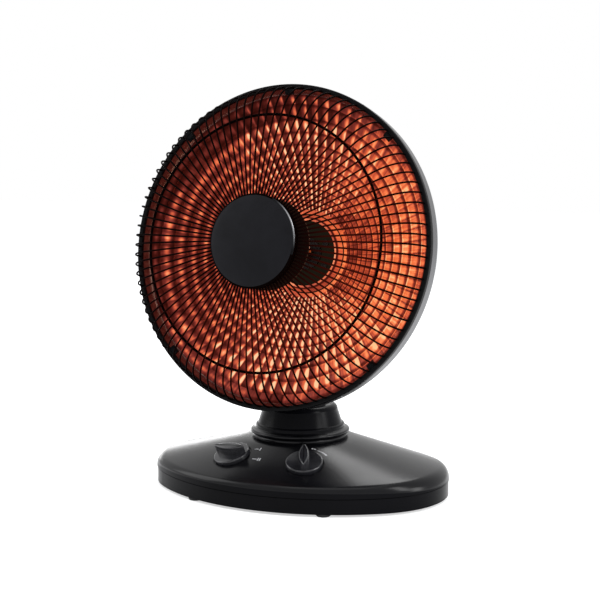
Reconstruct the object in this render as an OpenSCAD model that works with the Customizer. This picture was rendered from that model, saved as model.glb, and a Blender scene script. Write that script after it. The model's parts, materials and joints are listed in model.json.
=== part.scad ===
// Parabolic heater with a domed wire guard, a swinging and tilting head and an oval base.
// Units are millimetres. +Z is up, the heater faces -Y, and the origin is on the floor
// below the neck, at the middle of the base.

/* [Head placing] */
// Height of the middle of the rim above the floor
head_h = 282; // [276:1:300]
// How far the middle of the rim stands in front of the neck's axis
head_fwd = 53; // [46:1:60]
// Backward lean of the head at rest, in degrees
head_tilt = 10; // [6:0.5:14]

/* [Rim and guard] */
// Outer diameter of the black rim ring
rim_d = 362; // [356:1:366]
// Radial width of the rim ring
rim_w = 5.8; // [5:0.1:6.5]
// Depth of the rim ring in front of the bowl's edge
rim_front = 4; // [3:0.25:5]
// How far the rim ring's skirt reaches back over the shell
rim_skirt = 2.4; // [2:0.1:4]
// Number of radial guard wires
wire_count = 96; // [72:4:108]
// Thickness of a radial wire
wire_t = 2; // [1.6:0.1:2.2]
// Radius of the bend where a wire turns from the rim into the dome
wire_bend = 40; // [34:1:44]
// Radius of the ring wire
ring_r = 140; // [132:1:146]
// Height of the dome at the ring wire, ahead of the rim
ring_fwd = 43; // [41:0.5:45]
// Thickness of the ring wire
ring_t = 3; // [2.4:0.1:3.6]
// Radius of the centre cap
cap_r = 53; // [50:0.5:56]
// Height of the dome at the cap's edge, ahead of the rim
cap_fwd = 58; // [57:0.5:60]
// Thickness of the cap at its edge
cap_edge = 3.4; // [2.5:0.1:4.5]
// Crown of the cap at its middle
cap_crown = 3; // [1:0.25:5]
// Number of rim clips
clip_count = 5; // [3:1:5]

/* [Bowl] */
// Depth of the reflector from the rim to its flat bottom
bowl_depth = 74; // [70:1:76]
// Radius of the reflector's flat bottom
bowl_flat_r = 46; // [44:1:50]
// Slope of the bowl next to its flat bottom
bowl_slope = 0.42; // [0.36:0.01:0.46]
// Thickness of the reflector's sheet
bowl_t = 0.8; // [0.6:0.1:1.2]
// Thickness of the back shell's sheet
shell_t = 1; // [0.8:0.1:1.5]
// Depth of the back shell's straight wall
shell_wall = 16; // [12:0.5:18]
// Radius of the corner behind the straight wall
shell_corner = 12; // [9:0.5:14]
// Slope of the back shell's cone
shell_slope = 0.5; // [0.48:0.01:0.54]
// Least gap between the bowl's flat bottom and the back shell
hub_gap = 7; // [5:0.5:12]

/* [Element] */
// Largest radius of the ceramic former
former_r = 48.5; // [44:0.5:49]
// Smallest radius of the ceramic former
former_tip_r = 20.5; // [19:0.5:24]
// Length of the former's cone
former_len = 41; // [36:1:44]
// How far the former's wide end stands ahead of the rim
former_fwd = 25; // [22:1:26]
// Loops of the heating coil
coil_loops = 13; // [8:1:14]
// Thickness of the coil
coil_t = 2; // [1.6:0.1:2.2]
// Depth of the shield can in front of the former
can_len = 26; // [20:1:26]

/* [Rear housing] */
// Thickness of the arm's plate behind the back shell
arm_plate_t = 4.6; // [4:0.1:8]
// Outer radius of the rear housing
pod_r = 58; // [52:1:59]
// Depth of the rear housing
pod_len = 37; // [34:1:44]
// Wall of the rear housing
pod_wall = 2.4; // [2:0.1:3]

/* [Neck] */
// Radius of the neck cup's lowest bead
cup_bead_r = 57; // [55:0.5:59]
// Radius of the neck cup above its step
cup_r = 48.2; // [47:0.2:49.4]
// Radius of the neck cup at its shoulder
cup_top_r = 43.4; // [42.4:0.2:45]
// Height of the neck cup's flat top above the floor
cup_top_z = 99; // [97:0.5:103]
// Wall of the neck cup
cup_wall = 2.5; // [2:0.1:3]
// Radius of the spindle
spindle_r = 12; // [11:0.25:13]
// Radius of the way for wires through the spindle
spindle_bore_r = 8; // [6:0.25:9]
// Place of the tilt bolt behind the neck's axis
tilt_y = 15; // [12:1:17]
// Height of the tilt bolt above the cup's top
tilt_rise = 15.5; // [15:0.5:18]
// Radius of the tilt bolt
tilt_bolt_r = 4; // [3:0.25:5]

/* [Base] */
// Width of the base
base_w = 353; // [346:1:360]
// Depth of the base, front to back
base_d = 255; // [250:1:262]
// Radius of the ends of the base's oval
base_end_r = 100; // [92:1:108]
// Height of the feet below the pan
foot_h = 3; // [2.5:0.25:5]
// Radius of a foot
foot_r = 8; // [6:0.5:9]
// Height of the pan's skirt
skirt_h = 16.2; // [14:0.2:18]
// Gap of the shadow groove between pan and cover
groove_h = 1; // [0.8:0.1:1.6]
// Wall of the pan and of the cover
base_wall = 2.6; // [2.2:0.1:3]
// Radius of the rounded edge of the cover
cover_round = 16; // [13:0.5:17]
// Height of the cover's flat top above the floor
cover_top_z = 62.5; // [60:0.5:64]
// Radius of the cover's flat top
cover_top_r = 56; // [54:0.5:58]

/* [Knobs] */
// Radius of a knob
knob_r = 20.5; // [18:0.5:21]
// Thickness of a knob's disc
knob_t = 6; // [5:0.5:7]
// Height of a knob's grip above its disc
grip_h = 10; // [7:0.5:12]
// Width of a knob's grip
grip_w = 11; // [9:0.5:13]
// Radius of a knob's shaft
knob_shaft_r = 3; // [2.5:0.25:4]
// Direction of a knob from the neck, from the right-hand side, in degrees
knob_dir = 70.5; // [66:0.5:76]
// Place of a knob on the slope, as a share of the way from the top to the edge
knob_share = 0.51; // [0.48:0.01:0.54]

/* [Swing drive] */
// Distance from the neck's axis to the motor's axis
crank_gap = 38; // [37:0.5:40]
// Throw of the crank
crank_throw = 21.8; // [20:0.1:22.6]
// Radius of the roller on the crank
roller_r = 4.5; // [4:0.1:5]
// Play of the roller in the swing arm's slot, on each side
slot_play = 1.6; // [1.5:0.1:2]
// Radius of the swing motor
motor_r = 25; // [22:0.5:26]
// Height of the swing motor
motor_len = 19; // [16:0.5:20]

/* [Fits] */
// Running clearance of a shaft in its bore
run_fit = 0.05; // [0.02:0.01:0.1]
// Gap between flat faces that turn past each other
turn_gap = 0.3; // [0.2:0.05:0.5]
// Clearance of a part that is screwed or seated in another
seat_fit = 0.1; // [0.05:0.05:0.2]

/* [Hidden] */
$fn = 96;

plastic_black = [0.09, 0.09, 0.10];
wire_black = [0.03, 0.03, 0.03];
steel = [0.62, 0.63, 0.65];
bright = [0.78, 0.79, 0.80];
brass = [0.78, 0.62, 0.30];
ceramic = [0.86, 0.83, 0.76];
glow = [1.0, 0.45, 0.12];
rubber_black = [0.05, 0.05, 0.05];

rim_r = rim_d / 2;
rim_in_r = rim_r - rim_w;

// ---- outlines -------------------------------------------------------------------

// Points along an arc, from angle a0 to a1
function arc(c, r, a0, a1, n) =
    [for (i = [0:n]) let (a = a0 + (a1 - a0) * i / n) c + r * [cos(a), sin(a)]];

function reversed(p) = [for (i = [len(p) - 1:-1:0]) p[i]];

// A ring of rectangular section, from radius r0 to r1 and from height z0 to z1
module ring(r0, r1, z0, z1) {
    rotate_extrude() translate([r0, z0]) square([r1 - r0, z1 - z0]);
}

// A plain rod along Z from z0 to z1
module rod(r, z0, z1) {
    translate([0, 0, z0]) cylinder(r = r, h = z1 - z0);
}

// A block from its lowest to its highest corner
module block(a, b) {
    translate(a) cube(b - a);
}

// ---- places ---------------------------------------------------------------------

// The head's own frame: its middle is the middle of the rim, +Z points forward
module head() {
    translate([0, -head_fwd, head_h]) rotate([90 - head_tilt, 0, 0]) children();
}

tilt_z = cup_top_z + tilt_rise;
tilt_dy = tilt_y + head_fwd;
tilt_dz = tilt_z - head_h;
// The tilt bolt in the head's frame: its depth behind the rim and its height
tilt_back = tilt_dy * cos(head_tilt) - tilt_dz * sin(head_tilt);
tilt_up = tilt_dy * sin(head_tilt) + tilt_dz * cos(head_tilt);

// A frame on the tilt bolt, turned with the head, with +Z along the bolt
module on_bolt() {
    head() translate([0, tilt_up, -tilt_back]) rotate([0, 90, 0]) children();
}

// ---- guard ----------------------------------------------------------------------

// The dome is part of a sphere through the ring wire and the cap's edge
dome_c = (ring_r * ring_r + ring_fwd * ring_fwd - cap_r * cap_r - cap_fwd * cap_fwd)
    / (2 * (cap_fwd - ring_fwd));
dome_r = norm([ring_r, ring_fwd + dome_c]);
wire_foot_r = rim_r - 1.6 - wire_t / 2;
bend_c_r = wire_foot_r - wire_bend;
bend_c_z = sqrt(pow(dome_r - wire_bend, 2) - bend_c_r * bend_c_r) - dome_c;
bend_a = atan2(bend_c_z + dome_c, bend_c_r);
wire_foot_a = asin((rim_front - bend_c_z) / (wire_bend - wire_t / 2));
hub_in_r = cap_r - 9;
hub_out_r = cap_r - 3;
wire_in_r = hub_in_r + 1;
dome_a0 = acos(wire_in_r / dome_r);
function dome_z(r) = sqrt(dome_r * dome_r - r * r) - dome_c;

// A round wire bent to an arc in the XZ plane, from angle a0 to a1
module bent_wire(c, r, a0, a1) {
    translate([c[0], 0, c[1]]) rotate([90, 0, 0]) rotate([0, 0, a0])
        rotate_extrude(angle = a1 - a0) translate([r, 0]) circle(wire_t / 2, $fn = 32);
}

module guard_wires() {
    color(wire_black) head() {
        for (i = [0:wire_count - 1]) rotate([0, 0, (i + 0.5) * 360 / wire_count]) {
            bent_wire([bend_c_r, bend_c_z], wire_bend, wire_foot_a, bend_a);
            bent_wire([0, -dome_c], dome_r, bend_a, dome_a0);
        }
        ring(hub_in_r, hub_out_r, dome_z(hub_out_r) - wire_t / 2 - 0.6, cap_back);
    }
}

// The ring wire lies behind the others, on their dome, or on their bend where the rim is small
ring_sink = (wire_t + ring_t) / 2;
ring_wire_z = ring_r < bend_c_r + wire_bend * cos(bend_a)
    ? sqrt(pow(dome_r - ring_sink, 2) - ring_r * ring_r) - dome_c
    : sqrt(pow(wire_bend - ring_sink, 2) - pow(ring_r - bend_c_r, 2)) + bend_c_z;
module guard_ring() {
    color(wire_black) head()
        rotate_extrude() translate([ring_r, ring_wire_z]) circle(ring_t / 2, $fn = 32);
}

cap_back = dome_z(hub_in_r) + wire_t / 2;
module guard_cap() {
    cap_front = cap_back + cap_edge;
    soft = 2.2;
    crown_r = (cap_r * cap_r + cap_crown * cap_crown) / (2 * cap_crown);
    crown_a = acos((cap_r - soft) / crown_r);
    color(plastic_black) head() rotate_extrude() polygon(concat(
        [[0, cap_back], [cap_r, cap_back]],
        arc([cap_r - soft, cap_front - soft], soft, 0, 80, 6),
        arc([0, cap_front + cap_crown - crown_r], crown_r, crown_a, 90, 10)));
}

// ---- rim ------------------------------------------------------------------------

module rim_ring() {
    soft = 1.6;
    color(wire_black) head() rotate_extrude() polygon(concat(
        [[rim_in_r, 0]],
        arc([rim_in_r + soft, rim_front - soft], soft, 180, 90, 5),
        arc([rim_r - soft, rim_front - soft], soft, 90, 0, 5),
        [[rim_r, -rim_skirt], [rim_r - 0.9, -rim_skirt], [rim_r - 0.9, 0]]));
}

// Small hooks inside the rim that hold the guard to the reflector's lip
clip_angles = [45, 135, 90, 225, 315];
module rim_clips() {
    clip_w = 3.2;
    color(wire_black) head() for (i = [0:clip_count - 1])
        rotate([0, 0, clip_angles[i] - clip_w / 2])
            rotate_extrude(angle = clip_w) polygon([
                [rim_in_r, 0], [rim_in_r, rim_front - 0.4], [rim_in_r - 4, rim_front - 0.4],
                [rim_in_r - 6, rim_front - 2.4], [rim_in_r - 6, 0], [rim_in_r - 4.4, 0.4]]);
}

// ---- bowl -----------------------------------------------------------------------

lip_r = rim_in_r;
bowl_top_r = lip_r - 3.2;
bowl_top_z = -11;
bowl_span = bowl_top_r - bowl_flat_r;
bowl_curve = (bowl_depth + bowl_top_z - bowl_slope * bowl_span) / (bowl_span * bowl_span);
function bowl_z(r) = -bowl_depth + bowl_slope * (r - bowl_flat_r)
    + bowl_curve * pow(r - bowl_flat_r, 2);
bowl_steps = 14;
function bowl_line(drop) =
    [for (i = [0:bowl_steps]) let (r = bowl_top_r - bowl_span * i / bowl_steps) [r, bowl_z(r) - drop]];

module reflector() {
    drop = bowl_t * 1.1;
    hole = stem_thread_r + seat_fit;
    color(bright) head() difference() {
        rotate_extrude() polygon(concat(
            [[rim_r - 1.3, 0], [lip_r, 0], [lip_r - 1.4, bowl_top_z + 2.6]],
            bowl_line(0),
            [[hole, -bowl_depth], [hole, -bowl_depth - bowl_t],
             [hub_pitch_r + 8, -bowl_depth - bowl_t]],
            reversed(bowl_line(drop)),
            [[lip_r - 0.5, bowl_top_z + 2], [lip_r + bowl_t, -bowl_t], [rim_r - 1.3, -bowl_t]]));
        hub_holes(hub_screw_r + seat_fit, -bowl_depth - bowl_t - 1, -bowl_depth + 1);
    }
}

shell_r = rim_r - 1;
shell_lip_z = -bowl_t;
shell_lean = atan(shell_slope);
corner_r = shell_r - shell_corner;
tangent_r = corner_r + shell_corner * sin(shell_lean);
tangent_z = -shell_wall - shell_corner * cos(shell_lean);
pod_seat_r = pod_r + 2;
cone_back = -tangent_z + shell_slope * (tangent_r - pod_seat_r);
// The flat back ends the cone. A bowl too deep for that sets it further back, on a step.
shell_back = max(cone_back, bowl_depth + bowl_t + hub_gap + shell_t);
back_step = shell_back - cone_back;
shell_flat_in_r = pod_seat_r - (back_step > 0 ? shell_t : shell_t * tan(shell_lean / 2));
cone_in_z = shell_t / cos(shell_lean) - shell_slope * shell_t - cone_back;
arm_front = shell_back + arm_plate_t;

module back_shell() {
    color(bright) head() difference() {
        rotate_extrude() polygon(concat(
            [[lip_r + 2, shell_lip_z], [shell_r, shell_lip_z]],
            arc([corner_r, -shell_wall], shell_corner, 0, shell_lean - 90, 8),
            back_step > 0 ? [[pod_seat_r, -cone_back]] : [],
            [[pod_seat_r, -shell_back], [stem_thread_r + 2, -shell_back],
             [stem_thread_r + 2, -shell_back + shell_t], [shell_flat_in_r, -shell_back + shell_t]],
            back_step > 0 ? [[shell_flat_in_r, cone_in_z]] : [],
            reversed(arc([corner_r, -shell_wall], shell_corner - shell_t, 0, shell_lean - 90, 8)),
            [[shell_r - shell_t, shell_lip_z - 1], [lip_r + 2, shell_lip_z - 1]]));
        hub_holes(hub_screw_r + seat_fit, -shell_back - 1, -shell_back + shell_t + 1);
        shell_screw_axes() rod(shell_screw_r + seat_fit, -shell_t - 1, 1);
    }
}

// Polished trim ring round the bottom of the bowl
module hub_ring() {
    foot = bowl_flat_r - 1.5;
    color(bright) head() rotate_extrude() polygon([
        [foot, -bowl_depth], [foot - 4, -bowl_depth + 8], [foot - 7, -bowl_depth + 8],
        [foot - 7, -bowl_depth + 7], [foot - 4.8, -bowl_depth + 7], [foot - 1.2, -bowl_depth]]);
}

hub_screw_r = 2;
hub_pitch_r = 26;
hub_angles = [30, 150, 210, 330];
module hub_holes(r, z0, z1) {
    for (a = hub_angles) rotate([0, 0, a]) translate([hub_pitch_r, 0, 0]) rod(r, z0, z1);
}

module hub_spacer() {
    color(steel) head() difference() {
        ring(hub_pitch_r - 4, hub_pitch_r + 4, -shell_back + shell_t, -bowl_depth - bowl_t);
        hub_holes(hub_screw_r + seat_fit, -shell_back, -bowl_depth);
    }
}

module hub_screws() {
    nut_z = -arm_front;
    color(steel) head() for (a = hub_angles) rotate([0, 0, a]) translate([hub_pitch_r, 0, 0]) {
        rod(hub_screw_r, nut_z - 4.4, -bowl_depth);
        rod(hub_screw_r * 1.9, -bowl_depth, -bowl_depth + 2);
        translate([0, 0, nut_z - 3.2]) cylinder(r = hub_screw_r * 1.9, h = 3.2, $fn = 6);
    }
}

// Short screws round the shell's wall that hold the bowl and the shell together
shell_screw_dirs = [-118, -62, 62, 118];
shell_screw_z = -9;
shell_screw_r = 1.4;
module shell_screw_axes() {
    for (a = shell_screw_dirs) rotate([0, 0, a])
        translate([shell_r, 0, shell_screw_z]) rotate([0, 90, 0]) children();
}

module shell_screws() {
    color(steel) head() shell_screw_axes() {
        rod(shell_screw_r * 2, 0, 0.8);
        rod(shell_screw_r, lip_r - shell_r + 0.1, 0.4);
    }
}

// ---- element --------------------------------------------------------------------

stem_r = 9;
stem_bore_r = 5;
stem_thread_r = 6;
former_tip_z = former_fwd - former_len;
former_slope = (former_r - former_tip_r) / former_len;
former_lean = atan(former_slope);
former_rim_r = former_r + 2;
former_rim_t = 2;
former_wall = 5;
web = 7;

module element_former() {
    cavity_tip_r = former_tip_r - former_wall + web * former_slope;
    color(ceramic) head() difference() {
        rotate_extrude() polygon([
            [stem_r + seat_fit, former_tip_z], [former_tip_r, former_tip_z],
            [former_r, former_fwd], [former_rim_r, former_fwd],
            [former_rim_r, former_fwd + former_rim_t],
            [former_r - former_wall, former_fwd + former_rim_t],
            [cavity_tip_r, former_tip_z + web], [stem_r + seat_fit, former_tip_z + web]]);
        coil_post(coil_first, -1, seat_fit);
        coil_post(coil_last, 1, seat_fit);
    }
}

module element_shield() {
    z0 = former_fwd + former_rim_t;
    wall = 0.8;
    color(wire_black) head() {
        ring(former_rim_r - wall, former_rim_r, z0, z0 + can_len);
        rod(former_rim_r, z0 + can_len, z0 + can_len + wall);
    }
}

// The coil follows the former's cone. Its middle line starts at the wide end.
coil_lift = (coil_t / 2 + 0.3) / cos(former_lean);
coil_z0 = former_fwd - 1.6 - coil_t / 2;
coil_z1 = former_tip_z + 2 + coil_t / 2;
coil_rings = 24 * coil_loops;
coil_end_len = coil_t * 1.6;
function coil_r(z) = former_tip_r + (z - former_tip_z) * former_slope + coil_lift;
function coil_at(u) = let (z = coil_z0 + (coil_z1 - coil_z0) * u, a = 360 * coil_loops * u)
    [coil_r(z) * cos(a), coil_r(z) * sin(a), z];
coil_first = coil_at(0) - [0, coil_end_len, 0];
coil_last = coil_at(1) + [0, coil_end_len, 0];
coil_path = concat([coil_first], [for (i = [0:coil_rings]) coil_at(i / coil_rings)], [coil_last]);

function unit(v) = v / norm(v);
function along(p, i) = i == 0 || i == len(p) - 1 ? [0, 1, 0] : unit(p[i + 1] - p[i - 1]);

// A tube of six sides along a path that winds round Z
module wound_tube(path, r) {
    sides = 6;
    n = len(path);
    points = [for (i = [0:n - 1])
        let (t = along(path, i), out = unit([path[i][0], path[i][1], 0]),
             side = unit(cross(t, out)), lift = cross(side, t))
        for (k = [0:sides - 1]) path[i] + r * (cos(60 * k) * lift + sin(60 * k) * side)];
    walls = [for (i = [0:n - 2]) for (k = [0:sides - 1])
        let (a = i * sides + k, b = i * sides + (k + 1) % sides)
        each [[a, b + sides, a + sides], [a, b, b + sides]]];
    ends = [for (k = [1:sides - 2])
        each [[0, k + 1, k], [(n - 1) * sides, (n - 1) * sides + k, (n - 1) * sides + k + 1]]];
    polyhedron(points = points, faces = concat(walls, ends), convexity = 10);
}

// Least gap between one loop and the next, measured on the middle line's points
coil_gap = min([for (i = [0:coil_rings - 19]) for (j = [18:30])
    if (i + j <= coil_rings) norm(coil_at((i + j) / coil_rings) - coil_at(i / coil_rings))]) - coil_t;

module heater_coil() {
    echo(least_gap_between_coil_loops = coil_gap);
    color(glow) head() wound_tube(coil_path, coil_t / 2);
}

// Two brass posts on the former that take the coil's straight ends
post_w = 3.4;
module coil_post(end, dir, room = 0) {
    near = end[1] - room * dir;
    far = end[1] + (post_w + room) * dir;
    half = post_w / 2 + room;
    block([coil_r(end[2]) - coil_lift - 3 - room, min(near, far), end[2] - half],
          [coil_r(end[2]) + coil_t, max(near, far), end[2] + half]);
}

module coil_terminals() {
    color(brass) head() {
        coil_post(coil_first, -1);
        coil_post(coil_last, 1);
    }
}

web_z = former_tip_z + web;
stem_top_z = web_z + 4;
stem_flange_t = 3;
back_nut_t = 6;
back_nut_r = 10;
front_nut_t = 3.5;
front_nut_r = 12;
stem_end_z = -arm_front - back_nut_t - 3;
module element_stem() {
    color(steel) head() difference() {
        union() {
            rod(stem_r, -bowl_depth, web_z);
            rod(stem_thread_r + 1, web_z, stem_top_z);
            rod(stem_r + 4, former_tip_z - stem_flange_t, former_tip_z);
            rod(stem_r + 9, -bowl_depth, -bowl_depth + stem_flange_t);
            rod(stem_thread_r, stem_end_z, -bowl_depth);
        }
        rod(stem_bore_r, stem_end_z - 1, stem_top_z + 1);
    }
}

// A six-sided nut on Z, from height z, on a thread of radius hole
module nut(r, z, t, hole) {
    difference() {
        translate([0, 0, z]) cylinder(r = r, h = t, $fn = 6);
        rod(hole + seat_fit / 2, z - 1, z + t + 1);
    }
}

module element_nuts() {
    color(steel) head() {
        nut(back_nut_r, -arm_front - back_nut_t, back_nut_t, stem_thread_r);
        nut(front_nut_r, web_z, front_nut_t, stem_thread_r + 1);
    }
}

// ---- arm and rear housing -------------------------------------------------------

arm_half_w = 15;
arm_depth = 16;
arm_back = arm_front + arm_depth;
arm_plate_r = 34;
arm_cover_t = 2;
ear_in = 15;
ear_t = 5;
ear_r = 12;
tongue_half_w = 12;
tongue_r = 11;
arm_low = tilt_up + ear_r + 2.2;

arm_end_t = 5;
module head_arm() {
    cavity_low = arm_low + arm_end_t;
    color(plastic_black) head() difference() {
        union() {
            rod(arm_plate_r, -arm_front, -shell_back);
            block([-arm_half_w, arm_low, -arm_back], [arm_half_w, -14, -arm_front]);
            block([-tongue_half_w, tilt_up, -arm_back], [tongue_half_w, arm_low, -arm_front]);
            translate([-tongue_half_w, tilt_up, -tilt_back]) rotate([0, 90, 0])
                cylinder(r = tongue_r, h = 2 * tongue_half_w);
        }
        block([-arm_half_w + 3, cavity_low, -arm_back - 1], [arm_half_w - 3, -13, -arm_front - 3]);
        translate([-tongue_half_w - 1, tilt_up, -tilt_back]) rotate([0, 90, 0])
            cylinder(r = tilt_bolt_r + run_fit, h = 2 * tongue_half_w + 2);
        rod(stem_thread_r + seat_fit, -arm_front - 1, -shell_back + 1);
        hub_holes(hub_screw_r + seat_fit, -arm_front - 1, -shell_back + 1);
    }
}

module arm_cover() {
    color(plastic_black) head()
        block([-arm_half_w, arm_low, -arm_back - arm_cover_t], [arm_half_w, -14, -arm_back]);
}

// Two sleeved leads inside the arm, from the terminal block down towards the neck
lead_r = 1.7;
lead_x = 4;
module head_leads() {
    color([0.75, 0.72, 0.66]) head() for (side = [-1, 1])
        translate([side * lead_x, 0, -arm_back + lead_r + 0.6]) rotate([90, 0, 0])
            rod(lead_r, -block_v0, -arm_low - arm_end_t - 0.5);
}

block_v0 = 16;
module terminal_block() {
    back = arm_back - 1;
    color(ceramic) head() difference() {
        block([-14, block_v0, -back], [14, block_v0 + 14, -arm_front]);
        for (x = [-8, 0, 8]) translate([x, block_v0 + 7, 0]) rod(2, -back - 1, -back + 8);
    }
}

module thermal_cutout() {
    color(steel) head() translate([-25, 0, 0]) {
        rod(8, -arm_front - 4, -arm_front);
        rod(6, -arm_front - 9, -arm_front - 4);
    }
}

pod_z0 = -shell_back;
pod_z1 = -shell_back - pod_len;
pod_post_r = 4.5;
pod_post_pitch = pod_r - pod_wall - pod_post_r + 0.6;
pod_screw_r = 1.6;
pod_angles = [50, 130, 230, 310];

module rear_housing() {
    soft = 12;
    vent_w = 3;
    vent_pitch = 7.3;
    vent_in = 8;
    vent_out = 0.52 * pod_r;
    color(plastic_black) head() difference() {
        union() {
            rotate_extrude() polygon(concat(
                [[pod_r - pod_wall, pod_z0], [pod_r, pod_z0]],
                arc([pod_r - soft, pod_z1 + soft], soft, 0, -80, 8),
                [[0, pod_z1 - 1.4], [0, pod_z1 + 1]],
                reversed(arc([pod_r - soft, pod_z1 + soft], soft - pod_wall, 0, -80, 8))));
            for (a = pod_angles) rotate([0, 0, a]) translate([pod_post_pitch, 0, 0])
                rod(pod_post_r, pod_z1 + soft / 2, pod_z0);
        }
        // way for the arm
        block([-arm_half_w - 0.4, -pod_r - 5, -arm_back - arm_cover_t - 0.4],
              [arm_half_w + 0.4, -pod_r / 2, pod_z0 + 1]);
        for (a = pod_angles) rotate([0, 0, a]) translate([pod_post_pitch, 0, 0]) {
            rod(pod_screw_r + seat_fit, pod_z1 - 5, pod_z0 + 1);
            rod(3.6, pod_z1 - 5, pod_z1 + soft / 2 + 2);
        }
        // two rows of vents across the back
        for (i = [-3:3]) for (y = [vent_in, vent_in - vent_out - vent_in])
            translate([i * vent_pitch - vent_w / 2, y, pod_z1 - 4]) cube([vent_w, vent_out - vent_in, 8]);
    }
}

module housing_screws() {
    head_z = pod_z1 + 8;
    color(steel) head() for (a = pod_angles) rotate([0, 0, a]) translate([pod_post_pitch, 0, 0]) {
        rod(pod_screw_r, head_z - 0.1, pod_z0);
        rod(3, head_z - 2.2, head_z);
    }
}

// ---- neck -----------------------------------------------------------------------

collar_z0 = cover_top_z;
collar_z1 = cover_top_z + 3.5;
cup_z0 = collar_z1 + turn_gap;
cup_hole_r = spindle_bore_r;
shoulder = 7;

module neck_cup() {
    rise = cup_z0;
    bead_c = rise + 2.3;
    flat_r = cup_top_r - shoulder;
    color(plastic_black) difference() {
        rotate_extrude() polygon(concat(
            [[cup_bead_r - 3.5, rise], [cup_bead_r - 1.2, rise]],
            arc([cup_bead_r - 2.3, bead_c], 2.3, -50, 80, 7),
            [[cup_bead_r - 5.2, rise + 5.2], [cup_r + 2.6, rise + 6]],
            arc([cup_r + 1.2, rise + 9], 1.4, 0, 90, 5),
            [[cup_r, rise + 11]],
            arc([flat_r, cup_top_z - shoulder], shoulder, 4, 90, 8),
            [[cup_hole_r, cup_top_z], [cup_hole_r, cup_top_z - cup_wall]],
            arc([flat_r, cup_top_z - shoulder], shoulder - cup_wall, 90, 4, 8),
            [[cup_r - cup_wall, rise + 11], [cup_r - cup_wall, rise + 7]]));
        neck_holes(neck_screw_r + seat_fit, cup_top_z - cup_wall - 1, cup_top_z + 1);
    }
}

neck_screw_r = 2;
neck_pitch_r = 16;
neck_angles = [270, 340, 200];
module neck_holes(r, z0, z1) {
    for (a = neck_angles) rotate([0, 0, a]) translate([neck_pitch_r, 0, 0]) rod(r, z0, z1);
}

bearing_top = cover_top_z + 1;
washer_t = 1.8;
spindle_seat_z = bearing_top + washer_t + turn_gap;
bearing_z0 = cover_top_z - base_wall - 11.5;
retain_z1 = bearing_z0 - turn_gap;
retain_t = 1.5;
arm_z1 = retain_z1 - retain_t - 1.5;
arm_t = 5;

module spindle() {
    foot_z = arm_z1 - arm_t;
    flange_r = 24;
    color(steel) difference() {
        union() {
            rod(spindle_r, foot_z, cup_top_z - cup_wall);
            rod(spindle_r + 6, spindle_seat_z, spindle_seat_z + 3);
            rod(flange_r, cup_top_z - cup_wall - 3, cup_top_z - cup_wall);
        }
        rod(spindle_bore_r, foot_z - 1, cup_top_z);
        ring(spindle_r - 1.5, spindle_r + 3, retain_z1 - retain_t, retain_z1);
        neck_holes(neck_screw_r + seat_fit, cup_top_z - 8, cup_top_z);
    }
}

module retaining_ring() {
    color(bright) ring(spindle_r - 1.5, spindle_r + 5, retain_z1 - retain_t, retain_z1);
}

module neck_screws() {
    top = cup_top_z + bracket_t;
    color(steel) for (a = neck_angles) rotate([0, 0, a]) translate([neck_pitch_r, 0, 0]) {
        rod(neck_screw_r, cup_top_z - cup_wall - 4.5, top);
        rod(neck_screw_r * 1.8, top, top + 1.6);
        translate([0, 0, cup_top_z - cup_wall - 5.6])
            cylinder(r = neck_screw_r * 1.9, h = 2.6, $fn = 6);
    }
}

module swing_arm() {
    slot_w = roller_r + slot_play;
    slot_a = norm([crank_gap, crank_throw]) - slot_play + 0.4;
    slot_b = crank_gap + crank_throw + slot_play - 0.4;
    tip_r = slot_w + 6;
    color(steel) difference() {
        union() {
            rod(spindle_r + 6, arm_z1 - arm_t, arm_z1);
            block([-tip_r, 0, arm_z1 - arm_t], [tip_r, slot_b, arm_z1]);
            translate([0, slot_b, 0]) rod(tip_r, arm_z1 - arm_t, arm_z1);
        }
        rod(spindle_r, arm_z1 - arm_t - 1, arm_z1 + 1);
        for (y = [slot_a, slot_b]) translate([0, y, 0]) rod(slot_w, arm_z1 - arm_t - 1, arm_z1 + 1);
        block([-slot_w, slot_a, arm_z1 - arm_t - 1], [slot_w, slot_b, arm_z1 + 1]);
    }
}

bracket_t = 3.5;
module tilt_bracket() {
    outer = ear_in + ear_t;
    plate_back_y = tilt_y + ear_r + 3;
    plate_front_y = tilt_y - 3 * ear_r - 1;
    color(plastic_black) difference() {
        union() {
            intersection() {
                block([-outer, plate_front_y, cup_top_z], [outer, plate_back_y, cup_top_z + bracket_t]);
                rod(cup_top_r - shoulder, cup_top_z - 1, cup_top_z + bracket_t);
            }
            for (side = [-1, 1]) {
                x0 = side > 0 ? ear_in : -outer;
                translate([x0, tilt_y, tilt_z]) rotate([0, 90, 0]) cylinder(r = ear_r, h = ear_t);
                block([x0, tilt_y - ear_r, cup_top_z], [x0 + ear_t, tilt_y + ear_r, tilt_z]);
            }
        }
        translate([-outer - 1, tilt_y, tilt_z]) rotate([0, 90, 0])
            cylinder(r = tilt_bolt_r + run_fit, h = 2 * outer + 2);
        rod(spindle_bore_r, cup_top_z - 1, cup_top_z + bracket_t + 1);
        neck_holes(neck_screw_r + seat_fit, cup_top_z - 1, cup_top_z + bracket_t + 1);
    }
}

module tilt_bolt() {
    outer = ear_in + ear_t;
    color(steel) translate([0, tilt_y, tilt_z]) rotate([0, 90, 0]) {
        rod(tilt_bolt_r, -outer, outer + 6);
        rod(tilt_bolt_r * 1.7, -outer - 3.4, -outer);
    }
}

module tilt_nut() {
    outer = ear_in + ear_t;
    color(steel) translate([0, tilt_y, tilt_z]) rotate([0, 90, 0]) difference() {
        translate([0, 0, outer]) cylinder(r = tilt_bolt_r * 1.9, h = 5, $fn = 6);
        rod(tilt_bolt_r, outer - 1, outer + 6);
    }
}

module friction_washers() {
    color(rubber_black) on_bolt() for (side = [0, 180]) rotate([0, side, 0])
        ring(tilt_bolt_r + run_fit, tongue_r - 1, tongue_half_w, ear_in - turn_gap);
}

// ---- base -----------------------------------------------------------------------

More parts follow.
